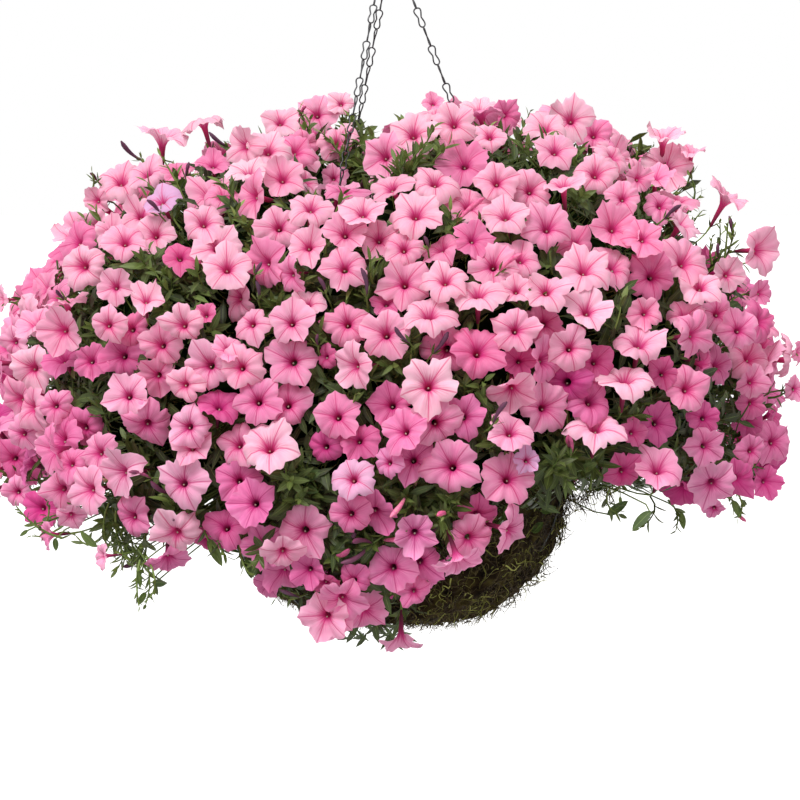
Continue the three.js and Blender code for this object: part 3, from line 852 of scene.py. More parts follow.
def addTubes(name, lines, radius, sides, tint, material):
    points = tubePoints(lines, radius, sides)
    count, rows = points.shape[:2]
    place = np.broadcast_arrays(np.linspace(0, 1, sides)[None, :], np.linspace(0, 1, rows)[:, None])
    place = np.stack(place, -1)
    place = np.broadcast_to(place[None], (count,) + place.shape)
    tint = np.broadcast_to(tint[:, None, None, :], (count, rows, sides, 4))
    maps = {"OFBake": tiled(place, count)}
    quads = gridQuads(rows, sides, count, True)
    return buildPiece(name, points, quads, material, maps, {"tint": tint})


def bentLines(start, control, end, steps):
    t = np.linspace(0, 1, steps)[None, :, None]
    return start[:, None] * (1 - t) ** 2 + 2 * control[:, None] * t * (1 - t) + end[:, None] * t ** 2


def tints(bright, yellow=0.0, chance=None):
    bright = np.asarray(bright, float)
    chance = rng.uniform(0, 1, len(bright)) if chance is None else chance
    return np.stack([bright, np.broadcast_to(yellow, bright.shape), chance, np.ones(len(bright))], -1)


# leaves set round bent stems, biggest at the foot; bright leaves towards the end
def leavesAlong(start, bend, end, leafCount, size, opening, firstPlace=0.2):
    amount = len(start)
    turn = rng.uniform(0, fullTurn, amount)
    keys = ("base", "way", "normal", "length", "width", "droop", "fold", "bright")
    leaves = {key: [] for key in keys}
    for k in range(leafCount):
        t = firstPlace + (1 - firstPlace) * k / (leafCount - 1)
        along = unit((bend - start) * (1 - t) + (end - bend) * t)
        x, y, z = turnedFrames(along, turn + 2.4 * k)
        angle = opening * (1.2 - 0.75 * t) * rng.uniform(0.75, 1.25, (amount, 1))
        leaves["base"].append(start * (1 - t) ** 2 + 2 * bend * t * (1 - t) + end * t ** 2)
        leaves["way"].append(z * np.cos(angle) + x * np.sin(angle))
        leaves["normal"].append(z * np.sin(angle) - x * np.cos(angle))
        leaves["length"].append(size * (1.15 - 0.6 * t) * rng.uniform(0.75, 1.2, amount))
        leaves["width"].append(size * (0.34 - 0.17 * t) * rng.uniform(0.75, 1.25, amount))
        leaves["droop"].append(rng.uniform(-0.1, 0.4, amount))
        leaves["fold"].append(rng.uniform(0.1, 0.6, amount))
        leaves["bright"].append(np.clip(0.27 + 0.42 * t + rng.normal(0, 0.13, amount), 0.05, 1))
    made = {key: np.concatenate(value) for key, value in leaves.items()}
    made["tint"] = tints(made.pop("bright"), 0.12)
    return made


# where the flowers stand

# seen in the picture: x, y, width, height in its 800 by 800 pixels, paleness 0 to 1,
# and the way it is turned:
# u up, d down, l left, r right, f straight on; an s before it is for one seen from its side
# a height below 0 is for one that turns a little past edge on
# the paleness above is partly each flower's own tone and partly painted light and shade
heroPixels = [
    (162, 137, 54, 19, .9, "su"), (121, 180, 48, 30, .85, "u"), (141, 215, 40, 36, .8, "u"),
    (155, 234, 42, 40, .85, "f"), (243, 146, 30, 44, .85, "l"), (213, 164, 35, 22, .45, "u"),
    (268, 150, 44, 38, .9, "u"), (204, 222, 45, 45, .85, "u"), (252, 196, 32, 50, .55, "l"),
    (217, 246, 50, 46, .85, "u"), (227, 267, 50, 50, .85, "f"), (180, 257, 36, 30, .2, "f"),
    (96, 201, 30, 24, .8, "l"), (96, 226, 35, 30, .8, "l"), (112, 232, 35, 35, .75, "u"),
    (125, 241, 44, 42, .75, "u"), (82, 266, 48, 50, .9, "l"), (176, 172, 30, 22, .5, "u"),
    (317, 114, 38, 40, .75, "f"), (280, 121, 38, 26, .9, "u"), (341, 103, 26, 20, .95, "u"),
    (283, 178, 42, 44, .7, "f"), (334, 177, 28, 26, .6, "f"), (384, 156, 42, 44, .65, "f"),
    (413, 133, 50, 40, .9, "u"), (454, 123, 43, 42, .85, "f"), (506, 115, 32, 30, .35, "r"),
    (433, 103, 22, 16, .6, "u"), (490, 136, 34, 30, .8, "u"), (497, 182, 42, 40, .75, "f"),
    (530, 189, 42, 40, .75, "f"), (435, 181, 50, 35, .85, "u"), (416, 213, 55, 40, .85, "u"),
    (311, 207, 45, 30, .85, "u"), (363, 212, 45, 30, .85, "u"), (345, 233, 45, 45, .7, "f"),
    (308, 246, 42, 42, .75, "f"), (264, 263, 34, 48, .45, "l"), (290, 275, 24, 36, .6, "l"),
    (379, 239, 42, 40, .7, "f"), (404, 248, 42, 40, .7, "f"), (505, 215, 47, 35, .85, "u"),
    (473, 239, 38, 38, .35, "f"), (571, 119, 48, 48, .9, "f"), (594, 134, 38, 36, .5, "f"),
    (555, 150, 43, 32, .75, "u"), (596, 173, 47, 46, .8, "f"), (563, 185, 45, 22, .8, "u"),
    (667, 167, 46, 48, .8, "f"), (663, 138, 44, 18, .9, "su"), (639, 179, 25, 30, .6, "r"),
    (691, 153, 30, 8, .8, "su"), (613, 227, 48, 48, .5, "f"), (547, 227, 48, 46, .65, "f"),
    (661, 205, 35, 36, .6, "f"), (623, 198, 34, 30, .65, "f"), (644, 238, 40, 38, .5, "f"),
    (726, 199, 44, 8, .75, "sur"), (759, 250, 40, 46, .75, "sr"), (684, 262, 40, 50, .7, "f"),
    (584, 269, 52, 36, .8, "u"), (576, 243, 38, 36, .45, "f"), (344, 267, 50, 48, .7, "f"),
    (404, 283, 50, 48, .65, "f"), (445, 280, 45, 35, .85, "u"), (478, 293, 52, 30, .85, "u"),
    (516, 290, 34, 28, .8, "u"), (291, 322, 44, 44, .75, "f"), (347, 323, 46, 44, .55, "f"),
    (386, 334, 50, 48, .7, "f"), (386, 303, 30, 22, .25, "u"), (429, 314, 55, 33, .85, "u"),
    (516, 330, 46, 44, .7, "f"), (292, 361, 52, 50, .65, "f"), (353, 366, 30, 48, .8, "l"),
    (308, 303, 36, 24, .85, "u"), (325, 357, 20, 26, .2, "l"), (478, 351, 55, 53, .3, "f"),
    (429, 385, 57, 53, .95, "f"), (288, 404, 45, 46, .55, "f"), (392, 405, 45, 44, .3, "f"),
    (464, 416, 44, 42, .42, "f"), (512, 391, 48, 38, .7, "d"), (337, 416, 48, 48, .5, "f"),
    (359, 440, 38, 36, .2, "f"), (324, 447, 40, 34, .15, "f"), (403, 431, 45, 38, .5, "f"),
    (510, 431, 46, 33, .75, "u"), (269, 446, 56, 44, .95, "u"), (413, 459, 45, 46, .5, "f"),
    (451, 466, 54, 50, .6, "f"), (508, 478, 52, 52, .6, "f"), (350, 514, 42, 44, .5, "f"),
    (375, 513, 44, 34, .4, "d"), (304, 531, 52, 50, .68, "f"), (415, 534, 42, 44, .65, "f"),
    (470, 539, 47, 48, .65, "f"), (477, 516, 40, 34, .3, "f"), (512, 531, 25, 48, .7, "r"),
    (332, 613, 50, 44, .8, "f"), (364, 611, 45, 50, .6, "d"), (401, 640, 42, -4, .75, "sd"),
    (392, 568, 48, 46, .55, "f"), (420, 563, 48, 48, .45, "f"), (458, 560, 46, 16, .7, "sdr"),
    (325, 584, 35, 28, .45, "f"), (284, 574, 44, 24, .45, "d"), (309, 570, 36, 34, .35, "f"),
    (353, 580, 32, 34, .35, "l"), (414, 592, 32, 34, .45, "d"), (325, 617, 50, 46, .8, "f"),
    (267, 584, 26, 30, .5, "l"), (62, 331, 48, 42, .7, "l"), (31, 367, 48, 46, .9, "l"),
    (91, 361, 35, 36, .35, "f"), (108, 325, 38, 38, .75, "f"), (131, 329, 40, 40, .4, "f"),
    (115, 286, 38, 36, .8, "f"), (146, 299, 36, 24, .85, "u"), (161, 345, 44, 42, .6, "f"),
    (182, 325, 40, 44, .8, "l"), (206, 315, 24, 22, .3, "f"), (209, 365, 50, 48, .8, "f"),
    (251, 323, 35, 40, .75, "f"), (228, 349, 34, 30, .7, "u"), (241, 367, 45, 44, .75, "f"),
    (258, 401, 48, 48, .55, "f"), (184, 385, 35, 38, .8, "l"), (128, 395, 45, 42, .8, "f"),
    (147, 426, 50, 42, .6, "d"), (188, 427, 42, 44, .85, "l"), (55, 406, 35, 34, .6, "l"),
    (22, 434, 38, 34, .7, "l"), (98, 452, 32, 42, .65, "f"), (70, 463, 30, 36, .5, "f"),
    (121, 472, 30, 50, .85, "l"), (182, 483, 47, 50, .85, "f"), (192, 446, 38, 34, .75, "u"),
    (239, 480, 45, 46, .4, "f"), (254, 503, 48, 46, .45, "f"), (89, 490, 36, 48, .75, "l"),
    (61, 489, 40, 44, .65, "l"), (71, 516, 26, 30, .75, "d"), (175, 535, 54, 46, .9, "f"),
    (168, 559, 42, 28, .55, "d"), (131, 517, 32, 44, .6, "l"), (104, 556, 14, 26, .8, "sl"),
    (283, 553, 42, 36, .85, "d"), (262, 546, 38, 48, .5, "l"), (50, 535, 14, 30, .6, "sl"),
    (17, 492, 32, 30, .7, "l"), (4, 300, 10, 26, .8, "sl"), (14, 342, 26, 30, .8, "l"),
    (546, 290, 46, 44, .8, "u"), (545, 360, 28, 50, .5, "r"), (519, 361, 34, 34, .2, "f"),
    (652, 276, 50, 48, .35, "f"), (587, 310, 48, 46, .95, "u"), (645, 313, 35, 34, .6, "f"),
    (685, 315, 42, 28, .7, "u"), (718, 313, 42, 38, .65, "f"), (739, 330, 42, 38, .6, "f"),
    (570, 348, 46, 46, .8, "f"), (639, 342, 53, 30, .85, "u"), (697, 336, 45, 40, .7, "f"),
    (595, 361, 40, 38, .2, "f"), (625, 378, 57, 32, .95, "u"), (663, 373, 33, 34, .2, "f"),
    (687, 389, 42, 44, .55, "f"), (545, 408, 50, 48, .6, "f"), (591, 401, 46, 38, .4, "f"),
    (596, 426, 56, 33, .9, "u"), (633, 433, 25, 30, .25, "f"), (657, 423, 42, 40, .25, "f"),
    (704, 418, 33, 34, .2, "f"), (748, 422, 30, 32, .15, "r"), (706, 446, 40, 36, .6, "f"),
    (624, 472, 42, 36, .15, "f"), (657, 468, 50, 36, .65, "u"), (712, 485, 50, 50, .7, "f"),
    (766, 482, 28, 34, .15, "r"), (752, 451, 30, 34, .5, "r"), (714, 509, 22, 25, .6, "d"),
    (761, 293, 18, 28, .5, "r"), (752, 382, 32, 36, .6, "r"), (752, 403, 30, 26, .3, "r"),
    (797, 352, 12, 24, .6, "sr"), (795, 389, 26, 20, .7, "r"), (700, 286, 44, 40, .85, "u"),
    (728, 275, 36, 32, .85, "r"),
]
# lilac flowers that are fading, and how far
fadedPixels = [
    (161, 200, 40, 20, .95, "u", .95), (388, 462, 32, 28, .5, "f", .3),
    (527, 460, 28, 26, .7, "f", .85), (353, 478, 44, 40, .85, "f", .5),
]
# places where leaves show between the flowers: x, y and how far from there flowers keep clear
leafGaps = [
    (345, 158, 15), (362, 190, 13), (411, 166, 18), (405, 188, 12), (472, 187, 15), (447, 221, 18),
    (460, 250, 15), (506, 244, 14), (546, 264, 12), (583, 204, 16), (627, 155, 12), (638, 195, 13),
    (665, 190, 12), (613, 285, 12), (245, 223, 18), (259, 244, 15), (301, 222, 10), (186, 195, 9),
    (308, 174, 11), (207, 287, 14), (153, 269, 13), (182, 288, 14), (259, 275, 13), (277, 290, 15),
    (305, 288, 13), (268, 308, 13), (161, 306, 12), (203, 327, 10), (337, 338, 12), (310, 334, 10),
    (142, 363, 12), (387, 371, 14), (379, 260, 10), (326, 260, 10), (418, 342, 15), (466, 310, 12),
    (525, 308, 12), (606, 334, 14), (663, 310, 11), (400, 364, 13), (445, 331, 13), (161, 397, 13),
    (106, 425, 19), (222, 422, 12), (222, 445, 12), (149, 462, 13), (146, 490, 13), (111, 512, 11),
    (300, 475, 20), (286, 478, 15), (144, 502, 13), (207, 521, 16), (178, 505, 12), (101, 524, 12),
    (322, 496, 13), (432, 510, 13), (380, 547, 12), (440, 440, 8), (441, 160, 15), (423, 152, 12),
    (352, 140, 10), (520, 150, 16), (372, 178, 9), (694, 372, 10), (727, 460, 11), (676, 444, 10),
    (440, 500, 20), (506, 556, 22), (89, 311, 9), (112, 374, 11), (237, 545, 12), (339, 548, 18),
    (362, 545, 13), (291, 502, 15), (377, 456, 12), (412, 495, 17), (395, 506, 18), (487, 418, 17),
    (483, 447, 14), (564, 443, 22), (550, 470, 22), (575, 478, 22), (544, 492, 18), (464, 390, 11),
    (642, 409, 14), (630, 420, 12), (594, 450, 15), (600, 463, 10), (361, 408, 11), (325, 379, 15),
    (372, 279, 11), (364, 302, 9), (95, 340, 9), (90, 400, 10), (112, 535, 14), (125, 556, 14),
    (146, 552, 13), (610, 480, 14), (640, 502, 12), (730, 380, 9),
]
# places where the picture shows neither flowers nor leaves
bareGaps = [(700, 236, 20), (722, 228, 14), (712, 205, 12), (410, 616, 15)]


# moves in mm that are tried, how far apart two that cross should lie, what a move costs and the least height
layering = {"moves": (0, -4, 4, -8, 8, -12, -16), "apart": 10, "cost": 0.12, "least": 8}


# heights over the leaves in mm, moved a little so that neighbours don't lie through each other
def layered(px, py, radius, wanted):
    height = wanted.copy()
    order = np.argsort(-wanted)
    for n, i in enumerate(order[1:], 1):
        before = order[:n]
        apart = np.hypot(px[before] - px[i], py[before] - py[i]) / (radius[before] + radius[i])
        near, share = before[apart < 1], 1 - apart[apart < 1]
        costs = []
        for move in layering["moves"]:
            clash = np.maximum(0, layering["apart"] - np.abs(height[near] - wanted[i] - move)) * share
            costs.append((clash.sum() + layering["cost"] * abs(move), move))
        height[i] = max(wanted[i] + min(costs)[1], layering["least"])
    return height


heroSettings = {
    "height": 20,  # mm over the leaves, and how much more for pale ones and by chance
    "paleHeight": 24,
    "chanceHeight": 3,
    "hangingOut": 14 * mm,  # more, for those seen from their side that hang down
    "narrowest": 0.3,  # share of a face's breadth
    "tiltShare": 0.95,
    "leastTilt": (0.15, 0.42),
    "highTilt": 0.2,  # more above these rows of pixels
    "highRows": (200, 330),
    "upTilt": 0.6,
    "sideShare": 0.8,
    "slanting": 0.45,
    "freeUp": 0.55,
    "sideLoose": 0.25,  # how loosely it keeps its way, 1 for one with no way given
    "wayLoose": 0.55,
    "lean": 0.2,  # by chance, and out from the leaves
    "leanOut": 0.3,
    "grown": 1.09,
    "radius": (11 * mm, 30 * mm),
    "paleShare": 0.9,
    "steep": 0.75,
    "steepCup": (0.15, 0.55),
    "upCup": (0.15, 0.45),
    "upSag": 0.3,
    "sideCup": 0.72,
    "sideCurl": 0.15,
    "sideSag": 0.05,
}
plainWays = ("u", "d", "l", "r")


def heroFlowers(pixels, settings, seed):
    s = settings
    draw = np.random.RandomState(seed)
    px, py, wide, tall, pale = (np.array([row[i] for row in pixels], float) for i in range(5))
    side = [row[5] for row in pixels]
    faded = np.array([row[6] if len(row) > 6 else 0.0 for row in pixels])
    chance = draw.uniform(-s["chanceHeight"], s["chanceHeight"], len(px))
    wanted = s["height"] + s["paleHeight"] * pale + chance
    layer = layered(px, py, np.maximum(wide, tall) / 2, wanted) * mm
    layer = layer + s["hangingOut"] * np.isin(side, ["sd", "sdr"])
    face = onPicture(px, py, layer)
    toCamera = unit(cameraPlace - face)
    broad = np.maximum(wide, tall)
    perPixel = np.linalg.norm(cameraPlace - face, axis=1) * 2 * halfView / pictureSide
    tilt = np.arccos(np.clip(np.minimum(wide, tall) / broad, s["narrowest"], 1))
    tilt = tilt * s["tiltShare"]
    lowest, highest = s["highRows"][1], s["highRows"][0]
    least = draw.uniform(*s["leastTilt"], len(px))
    tilt = np.maximum(tilt, least + s["highTilt"] * smooth(-py, -lowest, -highest))
    fromSide = np.array([way.startswith("s") for way in side])
    tilt = np.where(fromSide, np.arccos(s["sideShare"] * np.minimum(wide, tall) / broad), tilt)
    up = np.array(side) == "u"
    tilt = np.where(up, np.maximum(tilt, s["upTilt"]), tilt)
    x, y, _ = turnedFrames(toCamera, np.zeros(len(px)))
    normal = layerNormal(wayOf(face))
    free = normal - toCamera * (normal * toCamera).sum(1, keepdims=True)
    slant = s["slanting"] * x
    ways = {"u": y, "d": -y, "l": -x, "r": x, "ur": y + slant, "dr": -y + slant}
    ways["f"] = free + s["freeUp"] * y
    lean = np.stack([ways[way.lstrip("s")][i] for i, way in enumerate(side)])
    plain = np.isin(side, plainWays)
    loose = np.where(fromSide, s["sideLoose"], np.where(plain, s["wayLoose"], 1))[:, None]
    chance = draw.normal(size=lean.shape)
    lean = unit(lean + s["lean"] * loose * chance + s["leanOut"] * loose * free)
    facing = toCamera * np.cos(tilt)[:, None] + lean * np.sin(tilt)[:, None]
    radius = np.clip(broad * perPixel / 2 * s["grown"], *s["radius"])
    cool = coolness(face, pale, draw)
    flowers = dressed(face, facing, radius, pale * s["paleShare"], cool, faded, seed)
    steep = plain & (tilt > s["steep"])
    cup = np.where(fromSide, s["sideCup"], flowers["cup"])
    cup = np.where(steep, draw.uniform(*s["steepCup"], len(px)), cup)
    flowers["cup"] = np.where(up, draw.uniform(*s["upCup"], len(px)), cup)
    flowers["sag"] = np.where(up, s["upSag"] * flowers["sag"], flowers["sag"])
    flowers["curl"] = np.where(fromSide, s["sideCurl"], flowers["curl"])
    flowers["sag"] = np.where(fromSide, s["sideSag"], flowers["sag"])
    return flowers


# more flowers over all sides, kept apart from those already there
fillSettings = {
    "pictureTries": 6000,
    # pixels between a seen flower and one that shows between: mostly, low in the middle, and less at the left
    "pictureSpace": (29, 38),
    "lowMiddle": (360, 470),
    "lowMiddleReach": (110, 70),
    "closer": 3,
    "leftPart": (200, 260),
    "seenSpace": 30 * mm,
    "seenHeight": (10, 30),  # mm over the leaves, as is "height"
    "bowlSeen": (405, 560),  # pixels: right of and below there the bowl shows
    "height": (22, 46),
    "tries": 16000,
    "edgeSpace": 24,  # pixels between a seen flower and one on the turn of the mass
    "sideSpace": 35.5 * mm,
    "backSpace": 39.5 * mm,
    "lowest": -0.52,
    "underMass": 590,  # pixels down, where one on the far side shows below the mass
    # how far a place is turned to the camera: 1 facing it, below 0 on the far side
    "crowdedFrom": -0.05,
    "bareFrom": -0.15,
    "gapsFull": 0.4,
    "facing": 0.3,
    "sideFrom": -0.25,
}
gapShare = 1.1  # flowers keep clear of a gap this much further
apartCell = 0.045  # at least as long as the widest space asked for
overRim = 0.02  # from here up there is no bowl to keep clear of


def nearGap(px, py, gaps, share=1.0):
    near = np.zeros(len(px), bool)
    for x, y, reach in gaps:
        near |= np.hypot(px - x, py - y) < gapShare * reach * share
    return near


def keepApart(places, space, taken):
    cell = apartCell
    cells = {}
    beside = [(dx, dy, dz) for dx in (-1, 0, 1) for dy in (-1, 0, 1) for dz in (-1, 0, 1)]
    for p in taken:
        cells.setdefault(tuple(np.floor(p / cell).astype(int)), []).append(p)
    found = []
    for i, p in enumerate(places):
        home = np.floor(p / cell).astype(int)
        near = [q for move in beside for q in cells.get(tuple(home + move), ())]
        if near and np.min(np.linalg.norm(np.array(near) - p, axis=1)) < space[i]:
            continue
        cells.setdefault(tuple(home), []).append(p)
        found.append(i)
    return np.array(found, int)


def fromCamera(places):
    return np.linalg.norm(places - cameraPlace, axis=1)


# 1 where the leaves' surface faces the camera, below 0 on the far side
def turnedToUs(places, normals):
    return (normals * unit(cameraPlace - places)).sum(1)


# nothing grows through the bowl or straight down under it
def besideBowl(places, closest=0.25, steepest=-0.8):
    away = np.hypot(places[:, 0], places[:, 1])
    outside = (away > closest) & (layerNormal(wayOf(places))[:, 2] > steepest)
    return (places[:, 2] > rimHeight + overRim) | outside


heroes = heroFlowers(heroPixels + fadedPixels, heroSettings, 21)
heroFaces = heroes["face"]


def seenFill(settings):
    s = settings
    low, high = np.min(massOutline, axis=0), np.max(massOutline, axis=0)
    px = rng.uniform(low[0], high[0], s["pictureTries"])
    py = rng.uniform(low[1], high[1], s["pictureTries"])
    good = insideOutline(px, py, massOutline) & ~nearGap(px, py, leafGaps + bareGaps)
    heroX, heroY = pixelOf(heroFaces)
    apart = np.hypot(px[:, None] - heroX, py[:, None] - heroY).min(axis=1)
    usual, middle = s["pictureSpace"]
    (x, y), (reachX, reachY) = s["lowMiddle"], s["lowMiddleReach"]
    share = np.exp(-((px - x) / reachX) ** 2 - ((py - y) / reachY) ** 2)
    left, right = s["leftPart"]
    good &= apart > usual + (middle - usual) * share - s["closer"] * smooth(-px, -right, -left)
    px, py = px[good], py[good]
    places = onPicture(px, py, rng.uniform(*s["seenHeight"], len(px)) * mm)
    bowlX, bowlY = s["bowlSeen"]
    bowlSeen = (px > bowlX) & (py > bowlY)
    places = places[~bowlSeen]
    return places[keepApart(places, np.full(len(places), s["seenSpace"]), heroFaces)]


def restFill(settings, taken):
    s = settings
    ways = unit(rng.normal(size=(s["tries"], 3)))
    ways = ways[ways[:, 2] > s["lowest"]]
    places = layerPoint(ways, rng.uniform(*s["height"], len(ways)) * mm)
    towardsUs = turnedToUs(places, layerNormal(ways))
    px, py = pixelOf(places)
    heroX, heroY = pixelOf(heroFaces)
    apart = np.hypot(px[:, None] - heroX, py[:, None] - heroY).min(axis=1)
    crowded = (apart < s["edgeSpace"]) & (towardsUs > s["crowdedFrom"])
    bare = nearGap(px, py, bareGaps) & ((towardsUs > s["bareFrom"]) | (py > s["underMass"]))
    bare |= nearGap(px, py, leafGaps, np.clip(towardsUs / s["gapsFull"], 0, 1))
    good = besideBowl(places) & (towardsUs < s["facing"]) & ~crowded & ~bare
    good &= insideOutline(px, py, massOutline)
    places, towardsUs = places[good], towardsUs[good]
    space = np.where(towardsUs > s["sideFrom"], s["sideSpace"], s["backSpace"])
    return places[keepApart(places, space, taken)]


seenPlaces = seenFill(fillSettings)
restPlaces = restFill(fillSettings, np.concatenate([heroFaces, seenPlaces]))
toLight = unit(np.array([-0.2, -0.45, 1.0]))
fillLooks = {
    "byLight": 0.3,  # how much paler on the side the light comes from
    "usualLight": 0.4,
    "chance": 0.18,
    "paleness": (0.03, 0.95),
    "forward": 0.35,  # turned to the camera, and more so on the turn of the mass
    "turnForward": 0.55,
    "turnTo": -0.35,
    "upward": 0.3,
    "loose": 0.42,
    "faded": 0.7,
    "radius": (22, 27.5),  # mm
}


def fillFlowers(places, paleness, fading, seed):
    s = fillLooks
    normals = layerNormal(wayOf(places))
    light = s["byLight"] * (normals @ toLight - s["usualLight"])
    pale = paleness + light + rng.normal(0, s["chance"], len(places))
    pale = np.clip(pale, *s["paleness"])
    toCamera = unit(cameraPlace - places)
    square = (normals * toCamera).sum(1)
    forward = np.where(square > s["turnTo"], s["turnForward"], 0)
    forward = np.where(square > 0, s["forward"], forward)[:, None]
    facing = normals + np.array([0, 0, s["upward"]])
    facing = facing + rng.normal(0, s["loose"], normals.shape) + toCamera * forward
    faded = np.where(rng.uniform(size=len(places)) < fading, s["faded"], 0.0)
    radius = rng.uniform(*s["radius"], len(places)) * mm
    return dressed(places, facing, radius, pale, coolness(places, pale, rng), faded, seed)


# those shown between the others lie deeper and start less pale: painted shade
seenFlowers = fillFlowers(seenPlaces, 0.4, 0.0, 23)
restFlowers = fillFlowers(restPlaces, 0.55, 0.015, 25)
print("flowers placed:", len(heroFaces), "seen,", len(seenPlaces), "between them,", len(restPlaces), "more")


# flowers and shoots that stand in for the CAD ones, where those are
def nodeAxis(name):
    points = np.array([v.co for v in nodes[name].data.vertices], float)
    middle = points.mean(axis=0)
    values, vectors = np.linalg.eigh(np.cov((points - middle).T))
    odd = 2 if values[2] - values[1] > values[1] - values[0] else 0
    axis = vectors[:, odd]
    if np.dot(axis, middle - surfaceCentre) < 0:
        axis = -axis
    reach = (points - middle) @ axis
    return middle + axis * reach.min(), middle + axis * reach.max(), axis


singleSettings = {"radius": 26 * mm, "pale": (0.45, 0.8), "clear": 22 * mm, "seed": 24, "shapeSeeds": 100}
singleNames = [name for name in sorted(nodes) if name.startswith("bloom_")]
singleParts = [nodeAxis(name) for name in singleNames]
singleTops = np.array([top for _, top, _ in singleParts])
singlePale = rng.uniform(*singleSettings["pale"], len(singleNames))
singles = dressed(
    singleTops,
    np.array([axis for _, _, axis in singleParts]),
    np.full(len(singleNames), singleSettings["radius"]),
    singlePale,
    coolness(singleTops, singlePale, rng),
    0.0,
    singleSettings["seed"],
)
for i, name in enumerate(singleNames):
    one = chosen(singles, slice(i, i + 1))
    one["seed"] = singleSettings["shapeSeeds"] + i
    addBlooms(name.replace("bloom", "flower"), one, 10, bloomSettings["fullRings"], (name,))

everyFlower = joined([heroes, seenFlowers, restFlowers])
clear = np.ones(len(everyFlower["face"]), bool)
for top in singles["face"]:
    clear &= np.linalg.norm(everyFlower["face"] - top, axis=1) > singleSettings["clear"]
mayGo = (np.arange(len(clear)) >= len(heroFaces))[clear]
everyFlower = chosen(everyFlower, clear)

clashSettings = {
    "rounds": 16,
    "most": 15 * mm,
    "mostAtOnce": 4 * mm,
    "clearance": 1.5 * mm,
    "worst": 5 * mm,
    "told": 3 * mm,  # the print counts those that still cut deeper
    "turns": 12,
    "cupShare": 0.7,
    # shares of the radius: the throat, from there to the rim, and what counts as over the face
    "throat": 0.2,
    "reach": 0.76,
    "over": 0.95,
    "innerRing": (0.55, 0.45),  # a second ring of points, as shares of rim and middle
    "near": 12 * mm,
    "square": 0.55,  # one turned further to the camera than this moves along the line of sight
    "step": 0.25,
}


# how far the first flower's rim cuts through the second one's face, and the move forward that would free it
def clashes(flowers, face, first, second):
    s = clashSettings
    turn = np.arange(s["turns"]) * fullTurn / s["turns"]
    x, y, z = turnedFrames(flowers["facing"], flowers["roll"])
    lift = s["cupShare"] * flowers["cup"] - flowers["curl"]
    radius = flowers["radius"]
    ring = x[:, None] * np.cos(turn)[:, None] + y[:, None] * np.sin(turn)[:, None]
    throat, beyond = s["throat"], s["reach"]
    wide = (throat + beyond * np.cos(lift)) * radius
    rim = face[:, None] + ring * wide[:, None, None]
    rim = rim + z[:, None] * (beyond * radius * np.sin(lift))[:, None, None]
    rimShare, middleShare = s["innerRing"]
    inner = rimShare * rim[first] + middleShare * face[first][:, None]
    apart = np.concatenate([rim[first], inner], axis=1) - face[second][:, None]
    height = (apart * z[second][:, None]).sum(-1)
    reach = np.linalg.norm(apart - height[..., None] * z[second][:, None], axis=-1)
    height = height - np.maximum(reach - throat * radius[second][:, None], 0) * np.sin(lift[second])[:, None]
    inside = reach < s["over"] * radius[second][:, None]
    over = np.where(inside, height, -1).max(1)
    under = np.where(inside, -height, -1).max(1)
    depth = np.where((over > 0) & (under > 0), np.minimum(over, under), 0)
    forward = np.where(over > under, under + s["clearance"], -over - s["clearance"])
    return depth, np.where(depth > 0, forward, 0)


def unclashed(flowers, fixed, mayGo):
    s = clashSettings
    start = flowers["face"]
    face = start.copy()
    gaps = np.linalg.norm(start[:, None] - start[None], axis=-1)
    near = gaps < flowers["radius"][:, None] + flowers["radius"][None] + s["near"]
    first, second = np.nonzero(near & ~np.eye(len(start), dtype=bool))
    toCamera = unit(cameraPlace - start)
    square = (flowers["facing"][second] * toCamera[second]).sum(1, keepdims=True)
    alongSight = toCamera[second] / np.maximum(square, s["square"])
    push = np.where(square > s["square"], alongSight, flowers["facing"][second])
    for _ in range(s["rounds"]):
        _, forward = clashes(flowers, face, first, second)
        step = push * (s["step"] * forward)[:, None]
        move = np.zeros_like(face)
        np.add.at(move, first, step)
        np.add.at(move, second, -step)
        move[fixed] = 0
        size = np.linalg.norm(move, axis=1, keepdims=True)
        face = face + move * np.minimum(1, s["mostAtOnce"] / np.maximum(size, 1e-9))
        moved = face - start
        size = np.linalg.norm(moved, axis=1, keepdims=True)
        face = start + moved * np.minimum(1, s["most"] / np.maximum(size, 1e-9))
    depth, _ = clashes(flowers, face, first, second)
    gone = np.zeros(len(face), bool)
    for i in np.argsort(-depth):
        if depth[i] < s["worst"]:
            break
        for one in sorted((first[i], second[i]), reverse=True):
            if mayGo[one] and not gone[first[i]] and not gone[second[i]]:
                gone[one] = True
    cutting = depth[~gone[first] & ~gone[second]] > s["told"]
    print("flowers left out:", gone.sum(), "still cutting:", cutting.sum())
    return {**flowers, "face": face}, ~gone


both = joined([everyFlower, singles])
fixed = np.arange(len(both["face"])) >= len(everyFlower["face"])
both, stay = unclashed(both, fixed, np.concatenate([mayGo, np.zeros(len(singleNames), bool)]))
everyFlower = chosen(both, stay & ~fixed)
towardsUs = turnedToUs(everyFlower["face"], layerNormal(wayOf(everyFlower["face"])))
order = rng.permutation(len(towardsUs))
pieceSettings = {"seenFrom": -0.3, "flowers": 36, "shapeSeeds": 200, "seenSteps": 10, "backSteps": 8}
frontOnes = [i for i in order if towardsUs[i] > pieceSettings["seenFrom"]]
backOnes = [i for i in order if towardsUs[i] <= pieceSettings["seenFrom"]]
perPiece = pieceSettings["flowers"]
made = 0
for group, steps, rings in (
    (frontOnes, pieceSettings["seenSteps"], "fullRings"),
    (backOnes, pieceSettings["backSteps"], "fewRings"),
):
    for start in range(0, len(group), perPiece):
        made += 1
        some = chosen(everyFlower, np.array(group[start:start + perPiece]))
        some["seed"] = pieceSettings["shapeSeeds"] + made
        addBlooms(f"flowers_{made:02d}", some, steps, bloomSettings[rings])
everyFlower = joined([everyFlower, singles])
print("flowers built:", len(everyFlower["face"]), "in", made + len(singleNames), "pieces")


